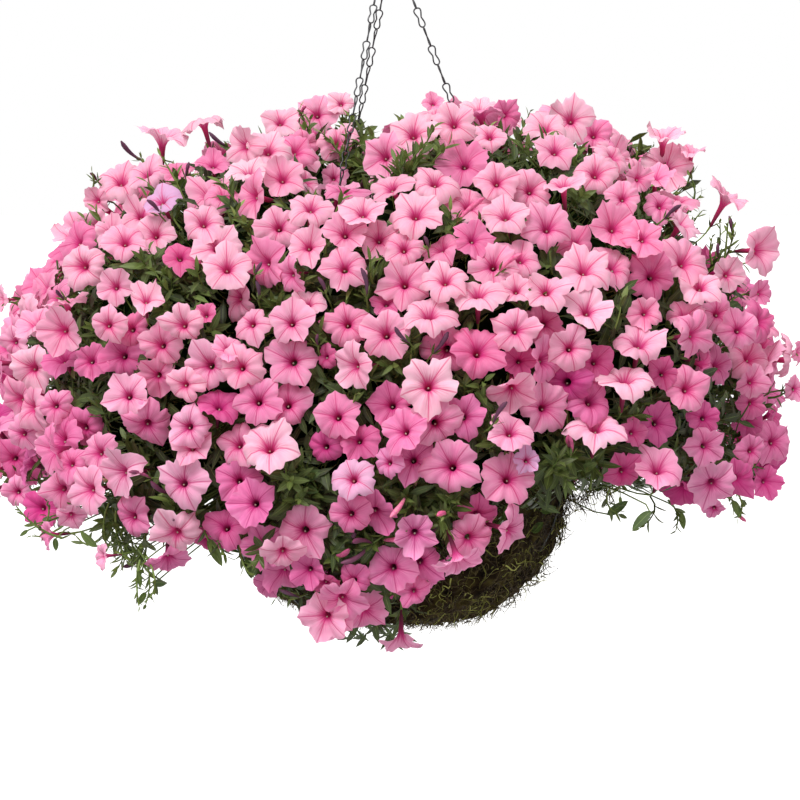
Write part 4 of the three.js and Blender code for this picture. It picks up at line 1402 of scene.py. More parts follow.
# narrow green sepals round the foot of each flower or bud
def sepalsAt(foot, way, reach):
    count = len(foot)
    x, y, z = turnedFrames(way, rng.uniform(0, fullTurn, count))
    base, out = [], []
    for k in range(5):
        turn = fullTurn * (k + 0.5) / 5
        out.append(x * math.cos(turn) + y * math.sin(turn))
        base.append(foot + out[-1] * 1.5 * mm)
    out = np.concatenate(out)
    amount = 5 * count
    return {
        "base": np.concatenate(base),
        "way": np.tile(z, (5, 1)) + out * rng.uniform(0.2, 0.75, (amount, 1)),
        "normal": out,
        "length": rng.uniform(0.65, 1.0, amount) * reach,
        "width": rng.uniform(2.0, 3.2, amount) * mm,
        "droop": rng.uniform(-0.3, 0.0, amount),
        "fold": np.full(amount, 0.3),
        "tint": tints(rng.uniform(0.35, 0.9, amount), 0.1),
    }


# the near-black sheet of painted shade inside the plants, and how deep it lies under the leaves
innerSettings = {"depth": 26 * mm, "lowerDepth": 75 * mm, "columns": 120, "rows": 60}


def innerDepth(ways):
    return innerSettings["depth"] + innerSettings["lowerDepth"] * smooth(-ways[..., 2], 0.02, 0.3)


stalkSettings = {
    "lower": 12 * mm,
    "intoInside": 12 * mm,
    "intoLeaves": 8 * mm,
    "straight": 16 * mm,
    "reach": 90 * mm,
}


# from the foot of a flower, bud or leaf back and down into the leaves, or on into the painted-shade sheet
# inside
def stalkLines(foot, way, reach=stalkSettings["reach"], inside=False):
    s = stalkSettings
    inward = wayOf(foot - np.array([0, 0, s["lower"]]))
    anchor = layerPoint(inward, -innerDepth(inward) - s["intoInside"] if inside else -s["intoLeaves"])
    long = np.linalg.norm(anchor - foot, axis=1, keepdims=True)
    anchor = foot + (anchor - foot) * np.minimum(1, reach / long)
    return bentLines(foot, foot - way * s["straight"], anchor, 5)


def addEvenStems(name, lines, radius):
    tint = tints(np.full(len(lines), 0.5))
    addTubes(name, lines, np.full((len(lines), 5), radius), 4, tint, stemGreen)


def addFlowerBacks(flowers):
    count = len(flowers["face"])
    scale = flowers["radius"] / bloomSettings["usualRadius"]
    z = unit(flowers["facing"])
    foot = flowers["face"] - z * (scale * bloomSettings["tubeDepth"])[:, None]
    addLeaves("calyx_sepals", sepalsAt(foot, z, 14 * mm), 4)
    lines = stalkLines(foot, z)
    radius = np.broadcast_to(np.array([1.3, 0.9, 0.8, 0.8, 0.9]) * mm, (count, 5))
    addTubes("flower_stalks", lines, radius, 4, tints(rng.uniform(0.3, 0.8, count)), stemGreen)
    lower = unit(np.array([0, 0, -1.0]) + z * z[:, 2:3])
    centre = flowers["face"] - z * (scale * 6.5 * mm)[:, None] + lower * 1.1 * mm
    tall = np.linspace(-1.4, 1.4, 4)[None, :, None] * mm * z[:, None, :]
    ball = np.broadcast_to(np.array([0.2, 0.95, 0.9, 0.2]) * mm, (count, 4))
    addTubes("stamens", centre[:, None] + tall, ball, 5, tints(np.full(count, 0.8)), stamenCream)


addFlowerBacks(everyFlower)
print("calyxes, stalks and stamens built")


# leafy shoots among the flowers, in the gaps between them, and trailing from the edge

shootSettings = {
    "count": 300,
    "lowest": -0.36,
    "leaves": 10,
    "sideways": 0.15,  # share of the length by which they bend
    "foot": -18 * mm,  # under the leaves
    "length": (38, 64),  # mm, as are those of the other two kinds
    "seenFrom": 0.35,  # where the surface is turned to us more than this, only this share stays
    "seenShare": 0.25,
    "overTip": 8,  # pixels: a tip may stand this far over the outline, the next ones likewise
    "gapShoots": 4,
    "gapLower": 8,  # they start this far below the gap's middle
    "gapUnder": 16,
    "gapFoot": (-16, 4),
    "gapLength": (26, 44),
    "trails": 64,
    "trailTries": 4000,
    "trailsFrom": (-34, -8),  # degrees
    "trailTurn": (-0.75, -0.15),  # how far the surface looks down there
    "trailFoot": -6 * mm,
    "trailLength": (34, 72),
    "trailHidden": -0.1,
    "trailOver": 14,
    "overBottom": 12 * mm,
}


def bentShoots(start, way, length):
    end = start + way * length[:, None]
    sideways = unit(rng.normal(size=start.shape)) * (shootSettings["sideways"] * length)[:, None]
    return start, start + way * (0.5 * length)[:, None] + sideways, end


def scatteredShoots(settings):
    s = settings
    ways = unit(rng.normal(size=(s["count"] * 2, 3)))
    ways = ways[ways[:, 2] > s["lowest"]][: s["count"]]
    start = layerPoint(ways, s["foot"])
    grow = unit(layerNormal(ways) + np.array([0, 0, 0.45]) + 0.4 * rng.normal(size=ways.shape))
    length = rng.uniform(*s["length"], len(ways)) * mm
    tipX, tipY = pixelOf(start + grow * length[:, None])
    hidden = turnedToUs(start, layerNormal(ways)) < s["seenFrom"]
    keep = besideBowl(start) & insideOutline(tipX, tipY - s["overTip"], massOutline)
    keep &= hidden | (rng.uniform(size=len(ways)) < s["seenShare"])
    return bentShoots(start[keep], grow[keep], length[keep])


def gapShoots(settings):
    s = settings
    gaps = np.repeat(np.array(leafGaps, float), s["gapShoots"], axis=0)
    count = len(gaps)
    px = gaps[:, 0] + rng.normal(0, 0.4, count) * gaps[:, 2]
    py = gaps[:, 1] + rng.normal(0, 0.4, count) * gaps[:, 2] + s["gapLower"]
    inside = insideOutline(px, py + s["gapUnder"], massOutline)
    px, py, count = px[inside], py[inside], inside.sum()
    start = onPicture(px, py, rng.uniform(*s["gapFoot"], count) * mm)
    normal = layerNormal(wayOf(start))
    grow = 0.5 * normal + unit(cameraPlace - start) * 0.3 + np.array([0, 0, 0.55])
    grow = unit(grow + 0.4 * rng.normal(size=start.shape))
    return bentShoots(start, grow, rng.uniform(*s["gapLength"], count) * mm)


def skirtTrails(settings):
    tries = settings["trailTries"]
    ways = towards(rng.uniform(0, fullTurn, tries), np.radians(rng.uniform(*settings["trailsFrom"], tries)))
    normal = layerNormal(ways)
    steepest, flattest = settings["trailTurn"]
    lower = (normal[:, 2] < flattest) & (normal[:, 2] > steepest)
    ways, normal = ways[lower][: settings["trails"]], normal[lower][: settings["trails"]]
    start = layerPoint(ways, settings["trailFoot"])
    length = rng.uniform(*settings["trailLength"], len(ways)) * mm
    level = unit(ways * np.array([1, 1, 0]))
    down = np.array([0, 0, -1.0])
    bend = start + (level * 0.35 + down * 0.3 + 0.2 * rng.normal(size=ways.shape)) * length[:, None]
    grow = level * 0.3 + down * rng.uniform(0.4, 0.95, (len(ways), 1)) + 0.25 * rng.normal(size=ways.shape)
    end = start + grow * length[:, None]
    end[:, 2] = np.maximum(end[:, 2], cadBounds[0][2] + settings["overBottom"])
    tipX, tipY = pixelOf(end)
    hidden = turnedToUs(start, normal) < settings["trailHidden"]
    keep = hidden | insideOutline(tipX, tipY - settings["trailOver"], massOutline)
    return start[keep], bend[keep], end[keep]


# single shoots seen at the edge of the mass: start, bend and end pixels, number of leaves, leaf length in mm
sprigPixels = [
    (187, 207, 176, 178, 161, 156, 6, 16), (170, 192, 152, 178, 142, 160, 7, 14),
    (112, 505, 118, 545, 140, 562, 9, 15), (135, 545, 158, 570, 146, 604, 9, 16),
    (140, 560, 134, 580, 139, 606, 8, 14), (98, 540, 88, 552, 76, 536, 3, 16),
    (62, 538, 35, 532, 16, 506, 8, 15), (45, 525, 52, 512, 47, 502, 6, 13),
    (70, 520, 48, 540, 32, 536, 5, 13), (316, 140, 306, 128, 300, 110, 5, 17),
    (345, 178, 352, 155, 345, 128, 8, 22), (222, 205, 228, 218, 238, 208, 6, 20),
    (713, 262, 722, 246, 720, 224, 6, 15), (722, 262, 734, 248, 733, 222, 6, 15),
    (690, 212, 700, 190, 690, 176, 6, 18), (628, 176, 634, 164, 638, 152, 6, 17),
    (620, 172, 625, 162, 622, 152, 5, 16), (516, 140, 524, 128, 530, 112, 6, 17),
    (220, 520, 214, 545, 226, 556, 7, 20), (240, 535, 238, 560, 248, 572, 7, 18),
    (205, 512, 200, 535, 215, 548, 6, 20), (284, 570, 290, 590, 276, 598, 6, 16),
    (300, 590, 292, 604, 280, 592, 6, 15), (420, 500, 402, 505, 405, 525, 5, 20),
    (610, 488, 600, 505, 618, 514, 7, 20), (650, 496, 664, 512, 640, 528, 7, 20),
    (668, 500, 682, 512, 676, 530, 7, 17), (735, 490, 748, 505, 738, 518, 6, 16),
    (570, 492, 566, 465, 574, 436, 10, 25), (560, 498, 548, 476, 540, 452, 9, 24),
    (590, 490, 594, 468, 590, 450, 8, 22), (490, 452, 497, 432, 503, 414, 7, 24),
    (318, 492, 312, 476, 302, 466, 6, 25), (150, 510, 140, 480, 146, 455, 8, 24),
    (770, 352, 782, 350, 792, 352, 5, 14), (768, 398, 782, 398, 790, 388, 5, 14),
    (20, 306, 12, 300, 6, 303, 3, 12), (58, 300, 52, 285, 60, 270, 6, 16),
    (92, 190, 96, 182, 92, 172, 4, 12), (402, 190, 415, 165, 434, 128, 10, 25),
    (398, 188, 400, 168, 408, 154, 6, 24), (430, 168, 446, 152, 468, 148, 6, 19),
    (540, 168, 528, 156, 516, 142, 6, 20), (560, 152, 552, 138, 547, 124, 5, 16),
    (352, 174, 340, 150, 322, 133, 8, 19), (180, 300, 165, 290, 152, 268, 8, 22),
    (232, 250, 228, 230, 238, 208, 8, 22), (658, 216, 664, 200, 682, 187, 6, 16),
    (688, 240, 689, 224, 702, 211, 7, 15), (684, 220, 690, 206, 701, 195, 6, 14),
    (724, 264, 727, 240, 728, 222, 6, 15), (712, 264, 708, 252, 712, 238, 6, 14),
    (730, 266, 742, 264, 750, 262, 4, 15), (652, 220, 642, 206, 633, 196, 7, 16),
    (400, 194, 403, 166, 426, 142, 9, 27), (420, 184, 428, 162, 448, 146, 8, 24),
    (438, 176, 450, 164, 462, 156, 6, 20), (404, 192, 398, 176, 402, 160, 6, 24),
    (350, 190, 346, 160, 332, 142, 8, 22), (358, 186, 366, 172, 368, 158, 6, 18),
    (404, 590, 402, 602, 401, 611, 8, 15), (118, 500, 110, 530, 126, 560, 12, 24),
    (130, 505, 126, 535, 140, 570, 12, 24), (110, 500, 98, 525, 108, 548, 10, 21),
    (142, 518, 152, 548, 138, 583, 11, 22), (146, 556, 162, 582, 150, 598, 8, 18),
    (150, 505, 148, 530, 140, 556, 11, 24), (120, 520, 134, 545, 118, 568, 10, 22),
    (132, 520, 120, 540, 132, 560, 10, 23),
]


farthestTip = 0.438  # to the left or right


def sprigShoots(rows):
    x0, y0, x1, y1, x2, y2 = (np.array([row[i] for row in rows], float) for i in range(6))
    start = onPicture(x0, y0, 2 * mm)
    distance = fromCamera(start)
    bend, end = atDistance(x1, y1, distance - 6 * mm), atDistance(x2, y2, distance - 10 * mm)
    end[:, 0] = np.clip(end[:, 0], -farthestTip, farthestTip)
    return start, bend, end


# which places lie on a flower's face, between two heights over it
def onFaces(places, low, high, share):
    there = np.zeros(len(places), bool)
    for face, facing, radius in zip(everyFlower["face"], everyFlower["facing"], everyFlower["radius"]):
        near = np.flatnonzero(np.abs(places - face).max(axis=1) < max(1.2 * radius, high))
        apart = places[near] - face
        height = apart @ facing
        reach = np.linalg.norm(apart - height[:, None] * facing, axis=1)
        there[near[(height > low) & (height < high) & (reach < radius * share)]] = True
    return there


# leaves that would lie on or stick through a face are left out
def clearOfFaces(leaves, low=-9 * mm, high=20 * mm, share=0.95):
    way = unit(leaves["way"]) * leaves["length"][:, None]
    on = [onFaces(leaves["base"] + way * along, low, high, share) for along in (0.25, 0.6, 0.95)]
    return chosen(leaves, ~np.any(on, axis=0))


def clearStems(stems):
    lines = bentLines(*stems, 5)
    on = [onFaces(lines[:, i], -3 * mm, 30 * mm, 0.9) for i in (2, 3, 4)]
    stay = ~np.any(on, axis=0)
    return tuple(part[stay] for part in stems)


shootShadeBelow = {"most": 0.16, "from": 0.23, "over": 0.12}  # painted shade: the shoots' leaves get darker down from there
sprigLight = {"lowFrom": 480, "high": 0.1, "low": -0.08}  # a row of pixels, and how much brighter the sprigs above and below it are, which is painted light and shade
stemLines = []
shootLeaves = []
for stems, size, opening in (
    (clearStems(scatteredShoots(shootSettings)), 24 * mm, 1.0),
    (clearStems(gapShoots(shootSettings)), 27 * mm, 1.1),
    (clearStems(skirtTrails(shootSettings)), 21 * mm, 1.2),
):
    stemLines.append(bentLines(*stems, 5))
    count = shootSettings["leaves"]
    leaves = clearOfFaces(leavesAlong(*stems, count, np.full(len(stems[0]), size), opening))
    below = rimHeight + shootShadeBelow["from"] - leaves["base"][:, 2]
    leaves["tint"][:, 0] -= shootShadeBelow["most"] * smooth(below, 0, shootShadeBelow["over"])
    shootLeaves.append(leaves)
sprigs = sprigShoots(sprigPixels)
stemLines.append(bentLines(*sprigs, 5))
for i, row in enumerate(sprigPixels):
    one = tuple(part[i:i + 1] for part in sprigs)
    leaves = leavesAlong(*one, row[6], np.full(1, row[7] * mm), 1.1, 0.3)
    leaves["tint"][:, 0] += sprigLight["high"] if row[1] <= sprigLight["lowFrom"] else sprigLight["low"]
    shootLeaves.append(leaves)
addLeaves("shoot_leaves", joined(shootLeaves), 5)
stemLines = np.concatenate(stemLines)
shootEnds = stemLines[:, -1]
shootWays = unit(stemLines[:, -1] - stemLines[:, -2])
stemRadius = np.broadcast_to(np.array([1.3, 1.2, 1.0, 0.85, 0.6]) * mm, (len(stemLines), 5))
stemTint = tints(rng.uniform(0.3, 0.9, len(stemLines)))
addTubes("shoot_stems", stemLines, stemRadius, 4, stemTint, stemGreen)

# CAD shoots, leaf for leaf where those stand
for name in [n for n in sorted(nodes) if n.startswith("leafy_shoot_")]:
    foot, top, axis = nodeAxis(name)
    reach = np.linalg.norm(top - foot)
    stems = bentShoots(foot[None], axis[None], np.array([reach * 0.75]))
    leaves = leavesAlong(*stems, 12, np.full(1, 24 * mm), 1.1)
    addLeaves(name.replace("leafy_shoot", "shoot"), leaves, 6, replaced=(name,))


# leaves of chance sizes; bright is the middle and the spread of their brightness, and the last argument
# darkens them as painted shade
def chanceLeaves(base, way, normal, settings, paintedShade=0.0):
    s = settings
    amount = len(base)
    leaves = {
        "base": base,
        "way": way,
        "normal": normal,
        "length": rng.uniform(*s["length"], amount) * mm,
        "width": rng.uniform(*s["width"], amount) * mm,
        "droop": rng.uniform(0, 0.4, amount),
        "fold": rng.uniform(0.1, 0.5, amount),
    }
    bright = rng.normal(*s["bright"], amount) - paintedShade
    leaves["tint"] = tints(np.clip(bright, 0, 1), s["yellow"])
    return leaves


# leaves that lie under the flowers and close the mass
coverSettings = {
    "count": 5400,
    "lowest": -0.55,
    "under": 900,
    "underFrom": -34,  # degrees
    "underTo": -7,
    "height": (-16, 12),  # mm over the surface
    "length": (19, 32),
    "width": (5.5, 9.5),
    "bright": (0.27, 0.17),
    "yellow": 0.05,
    # painted shade: leaves under the rim are made darker
    "paintedShadeBelow": 0.1,
    "besideBowl": (0.222, -1.1),
    "over": 10,  # pixels over the outline
}


def coverLeaves(settings):
    s = settings
    ways = unit(rng.normal(size=(s["count"] * 2, 3)))
    ways = ways[ways[:, 2] > s["lowest"]][: s["count"]]
    under = rng.uniform(s["underFrom"], s["underTo"], s["under"])
    ways = np.concatenate([ways, towards(rng.uniform(0, fullTurn, s["under"]), np.radians(under))])
    base = layerPoint(ways, rng.uniform(*s["height"], len(ways)) * mm)
    px, py = pixelOf(base)
    stay = besideBowl(base, *s["besideBowl"]) & insideOutline(px, py - s["over"], massOutline)
    ways, base = ways[stay], base[stay]
    normal = layerNormal(ways)
    along = unit(np.cross(normal, rng.normal(size=normal.shape)))
    lift = rng.uniform(0.0, 1.0, (len(ways), 1))
    way = along + normal * lift + np.array([0, 0, 0.3])
    normal = normal - along * lift + np.array([0, 0, 0.2])
    # painted shade, darker under the rim
    paintedShade = s["paintedShadeBelow"] * smooth(-base[:, 2], -rimHeight - 0.1, -rimHeight)
    return chanceLeaves(base, way, normal, settings, paintedShade)


gapSettings = {
    "perGap": 15,
    "height": (-14, 6),
    "length": (20, 34),
    "width": (5.5, 9.5),
    "bright": (0.3, 0.2),
    "yellow": 0.08,
    # painted shade: leaves lower in the picture, between these rows, are made darker
    "paintedShadeBelow": 0.14,
    "paintedShadeRows": (200, 400),  # rows of pixels
    "under": 16,  # pixels under the outline
}


# more of them where leaves show between the flowers
def gapLeaves(settings):
    s = settings
    gaps = np.repeat(np.array(leafGaps, float), s["perGap"], axis=0)
    amount = len(gaps)
    px = gaps[:, 0] + rng.normal(0, 0.6, amount) * gaps[:, 2]
    py = gaps[:, 1] + rng.normal(0, 0.6, amount) * gaps[:, 2]
    inside = insideOutline(px, py + s["under"], massOutline)
    px, py, amount = px[inside], py[inside], inside.sum()
    base = onPicture(px, py, rng.uniform(*s["height"], amount) * mm)
    normal = layerNormal(wayOf(base))
    along = unit(np.cross(normal, rng.normal(size=normal.shape)) + np.array([0, 0, 0.5]))
    lift = rng.uniform(0.1, 0.9, (amount, 1))
    # painted shade, darker lower in the picture
    paintedShade = s["paintedShadeBelow"] * smooth(py, *s["paintedShadeRows"])
    return chanceLeaves(base, along + normal * lift, normal - along * lift, settings, paintedShade)


cover = clearOfFaces(joined([coverLeaves(coverSettings), gapLeaves(gapSettings)]), -5 * mm, 12 * mm, 0.85)
third = (np.degrees(np.arctan2(cover["base"][:, 1], cover["base"][:, 0])) % 360 // 120).astype(int)
for index, plant in enumerate(("back", "left", "front")):
    solids = (f"{plant}_plant_crown", f"{plant}_plant_trail_")
    replaced = [n for n in nodes if n.startswith(solids)]
    addLeaves(f"{plant}_plant_leaves", chosen(cover, third == index), 4, replaced=replaced)


# single leaves seen at the edge of the mass: base and tip pixels, width in mm
leafPixels = [
    (208, 538, 222, 566, 10), (97, 547, 80, 531, 9), (246, 558, 251, 578, 8), (224, 548, 240, 553, 8),
    (152, 582, 167, 583, 10), (138, 570, 141, 588, 7), (146, 592, 138, 605, 7),
    (607, 515, 628, 501, 10), (651, 511, 632, 529, 10), (681, 512, 684, 529, 7),
    (733, 500, 741, 518, 8), (279, 590, 297, 596, 6), (407, 526, 409, 501, 11), (304, 480, 321, 470, 9),
    (302, 486, 318, 492, 9), (172, 182, 176, 164, 7), (166, 160, 158, 163, 5), (55, 538, 56, 551, 6),
    (42, 520, 52, 518, 5), (28, 530, 20, 536, 4), (36, 524, 24, 526, 4), (541, 512, 556, 507, 9),
    (533, 533, 543, 522, 9), (582, 470, 597, 463, 9), (566, 459, 556, 447, 9),
]


def edgeLeaves(rows):
    x0, y0, x1, y1, wide = (np.array([row[i] for row in rows], float) for i in range(5))
    base = onPicture(x0, y0, 12 * mm)
    distance = fromCamera(base)
    tip = atDistance(x1, y1, distance - 4 * mm)
    amount = len(rows)
    return {
        "base": base,
        "way": tip - base,
        "normal": unit(cameraPlace - base) + 0.45 * rng.normal(size=base.shape) + np.array([0, 0, 0.3]),
        "length": np.linalg.norm(tip - base, axis=1),
        "width": wide * mm,
        "droop": rng.uniform(0, 0.15, amount),
        "fold": rng.uniform(0.1, 0.4, amount),
        "tint": tints(rng.uniform(0.45, 0.7, amount)),
    }


edge = edgeLeaves(leafPixels)
addLeaves("edge_leaves", edge, 9)
longStalk = 200 * mm  # the longest that leads on into the painted-shade sheet inside
edgeStems = stalkLines(edge["base"] + 1.5 * mm * unit(edge["way"]), unit(edge["way"]), longStalk, True)
addEvenStems("edge_leaf_stems", edgeStems, 0.8 * mm)


# leaves of the cluster that hangs down in front of the bowl
clusterOutline = [
    (245, 535), (300, 530), (420, 540), (428, 575), (416, 606), (404, 632), (380, 640), (345, 632),
    (312, 620), (292, 596), (262, 566),
]


clusterSettings = {
    "count": 380,
    "height": (2, 20),
    "length": (16, 26),
    "width": (5, 8.5),
    "bright": (0.28, 0.16),
    "yellow": 0.05,
}


def clusterLeaves(settings):
    count = settings["count"]
    low, high = np.min(clusterOutline, axis=0), np.max(clusterOutline, axis=0)
    px, py = rng.uniform(low[0], high[0], 4 * count), rng.uniform(low[1], high[1], 4 * count)
    good = insideOutline(px, py, clusterOutline)
    px, py = px[good][:count], py[good][:count]
    amount = len(px)
    base = onPicture(px, py, rng.uniform(*settings["height"], amount) * mm)
    forward = unit(base - mossCentre)
    along = unit(np.cross(forward, rng.normal(size=base.shape)) + np.array([0, 0, -0.4]))
    lift = rng.uniform(0.1, 0.8, (amount, 1))
    normal = forward - along * lift + np.array([0, 0, 0.2])
    return chanceLeaves(base, along + forward * lift, normal, settings)


addLeaves("cluster_leaves", clearOfFaces(clusterLeaves(clusterSettings)), 4)
print("leaves built")


# painted shade: a near-black leafy sheet inside the plants
def addInnerShadeMass(settings):
    columns, rows = settings["columns"], settings["rows"]
    azimuth = np.arange(columns) * fullTurn / columns
    elevation = np.linspace(-1.45, 1.55, rows)
    way = towards(azimuth[None, :], elevation[:, None])
    waves = (40, 55, 70, 90)
    rough = sum(np.sin(way @ (unit(rng.normal(size=3)) * k) + rng.uniform(0, 6)) for k in waves)
    points = layerPoint(way.reshape(-1, 3), (rough * 3 * mm - innerDepth(way)).ravel())
    return buildPiece("inner_growth", points, gridQuads(rows, columns, 1, True), innerShadeLeaf)


# a thin stem from each single leaf down into the painted-shade sheet inside
leafStemSettings = {
    "radius": 0.7 * mm,
    "intoLeaf": 1.5 * mm,
    "straight": 8 * mm,
    "intoInside": 12 * mm,
    "bright": 0.3,
}


def addLeafStems(leaves, settings):
    s = settings
    way = unit(leaves["way"])
    foot = leaves["base"] + s["intoLeaf"] * way
    inward = wayOf(foot)
    root = layerPoint(inward, -innerDepth(inward) - s["intoInside"])
    count = len(foot)
    lines = bentLines(foot, foot - s["straight"] * way, root, 3)
    shade = tints(np.full(count, s["bright"]), 0.0, np.full(count, 0.5))
    addTubes("leaf_stems", lines, np.full((count, 3), s["radius"]), 3, shade, stemGreen)


addLeafStems(cover, leafStemSettings)
addInnerShadeMass(innerSettings)


# buds

budShape = (0.7, 1.5, 1.8, 2.1, 2.4, 2.6, 2.3, 0.8)  # radius in mm from foot to tip
budLength = 28 * mm  # of one with that radius
# seen at the edge of the mass: foot and tip pixels, and 0 for dark plum, 0.8 for pink, 1 for green
budPixels = [
    (141, 160, 121, 141, 0.1), (228, 147, 209, 132, 0.1), (186, 177, 189, 162, 0.2),
    (97, 181, 90, 173, 0.3), (160, 215, 147, 200, 0.15), (457, 222, 484, 198, 0.75),
    (500, 272, 522, 254, 0.75), (493, 424, 507, 402, 0.15), (571, 455, 569, 436, 0.55),
    (733, 238, 729, 216, 0.15), (664, 219, 681, 205, 0.1), (719, 258, 718, 243, 0.2),
    (299, 597, 280, 590, 0.1), (318, 345, 318, 334, 0.2), (300, 116, 306, 106, 0.6),
    (345, 145, 352, 128, 0.5), (366, 296, 361, 268, 0.1), (326, 294, 318, 277, 0.15),
    (258, 300, 256, 281, 0.05), (410, 343, 395, 327, 0.1), (432, 354, 448, 332, 0.15),
    (151, 478, 129, 472, 0.45), (628, 160, 632, 146, 0.3), (66, 300, 56, 290, 0.1),
    (770, 356, 778, 346, 0.7), (255, 275, 262, 262, 0.2), (428, 250, 424, 236, 0.2),
]


def addBuds(name, foot, way, length, shade):
    amount = len(foot)
    rows = len(budShape)
    side = unit(np.cross(way, rng.normal(size=way.shape)))
    t = np.linspace(0, 1, rows)[None, :, None]
    bow = side[:, None] * (0.1 * length)[:, None, None] * t * (1 - t) * 4
    lines = foot[:, None] + way[:, None] * length[:, None, None] * t + bow
    radius = np.array(budShape)[None, :] * mm * (length / budLength)[:, None] ** 0.5
    addTubes(name, lines, np.broadcast_to(radius, (amount, rows)), 6, tints(shade), budSkin)
    addLeaves(f"{name}_sepals", sepalsAt(foot, way, 11 * mm), 4)


# which places hide part of a petal in the picture
def overPetals(places, reach=17):
    x, y = pixelOf(places)
    faceX, faceY = pixelOf(everyFlower["face"])
    apart = np.hypot(x[:, None] - faceX, y[:, None] - faceY)
    behind = fromCamera(everyFlower["face"]) > fromCamera(places)[:, None]
    return (behind & (apart < reach)).any(axis=1)


def randomBuds():
    which = rng.uniform(size=len(shootEnds)) < 0.3
    which[-len(sprigPixels):] = False
    count = which.sum()
    way = unit(shootWays[which] + 0.35 * rng.normal(size=(count, 3)))
    plum = rng.uniform(size=count) < 0.55
    shade = np.where(plum, rng.uniform(0, 0.35, count), rng.uniform(0.55, 1.0, count))
    foot, length = shootEnds[which] - way * 2 * mm, rng.uniform(20, 31, count) * mm
    middle = foot + way * (0.6 * length)[:, None]
    free = ~onFaces(middle, -6 * mm, 34 * mm, 1.0) & ~overPetals(middle)
    return foot[free], way[free], length[free], shade[free]


budReach = 21  # pixels from a flower's middle within which a bud lies over its petals


def pixelBuds(rows):
    x0, y0, x1, y1, shade = (np.array([row[i] for row in rows], float) for i in range(5))
    heroX, heroY = pixelOf(heroFaces)
    heroAway = fromCamera(heroFaces)
    over = np.hypot((x0 + x1)[:, None] / 2 - heroX, (y0 + y1)[:, None] / 2 - heroY) < budReach
    away = fromCamera(onPicture(x0, y0, 30 * mm))
    away = np.minimum(away, np.where(over, heroAway - 9 * mm, np.inf).min(axis=1))
    foot = atDistance(x0, y0, away)
    tip = atDistance(x1, y1, away - 6 * mm)
    return foot, unit(tip - foot), np.linalg.norm(tip - foot, axis=1), shade


handBuds = pixelBuds(budPixels)
addBuds("buds", *(np.concatenate(both) for both in zip(randomBuds(), handBuds)))
budStalks = stalkLines(handBuds[0], handBuds[1], longStalk, True)
addEvenStems("bud_stalks", budStalks, 0.9 * mm)
print("buds built")


# moss bowl

mossSettings = {
    "bedLumps": 7 * mm,
    "bedTop": 15,  # degrees
    "strands": 11600,
    "length": (8, 25),  # mm
    "stray": 0.2,
    "openRadius": 185 * mm,  # no fibres within this and over the soil
    "soilDepth": 50 * mm,
    # pixels, with their spread
    "wisps": ((574, 500, 12, 10), (588, 490, 12, 6), (556, 520, 8, 8), (604, 488, 9, 4)),
    "perWisp": 70,
    "wispDepth": (-50, 20),
}


# thick on the side the picture shows bare, thin below and under the flowers on the left
def mossShare(azimuth, elevation):
    left = np.maximum(0, -np.cos(azimuth)) ** 2
    return (0.4 + 0.6 * smooth(elevation, -1.35, -0.6)) * (1 - 0.7 * left)


mossWaves = ((9, 1), (14, 0.9), (22, 0.8), (36, 0.6), (60, 0.4))
mossLumps = [(unit(rng.normal(size=3)) * k, rng.uniform(0, 6.28), weight) for k, weight in mossWaves]


def mossPoint(azimuth, elevation, offset):
    way = towards(azimuth, elevation)
    swell = sum(weight * np.sin(way @ wave + phase) for wave, phase, weight in mossLumps) / 2
    cover = mossSettings["bedLumps"] * (np.clip(swell, -0.3, 2) + 0.95) * mossShare(azimuth, elevation)
    radius = np.interp(elevation, mossProfile[:, 0], mossProfile[:, 1]) + offset + cover
    return mossCentre + way * radius[..., None]


def addMossBed():
    columns, rows = 160, 70
    heights = np.linspace(-1.56, math.radians(mossSettings["bedTop"]), rows)
    azimuth, elevation = np.meshgrid(np.arange(columns) * fullTurn / columns, heights)
    way = towards(azimuth, elevation)
    rough = sum(np.sin(way @ (unit(rng.normal(size=3)) * k) + rng.uniform(0, 6)) for k in (70, 95, 120))
    points = mossPoint(azimuth, elevation, rough * 0.9 * mm)
    quads = gridQuads(rows, columns, 1, True)
    return buildPiece("moss_bed", points, quads, mossBed, replaced=("moss_liner",))


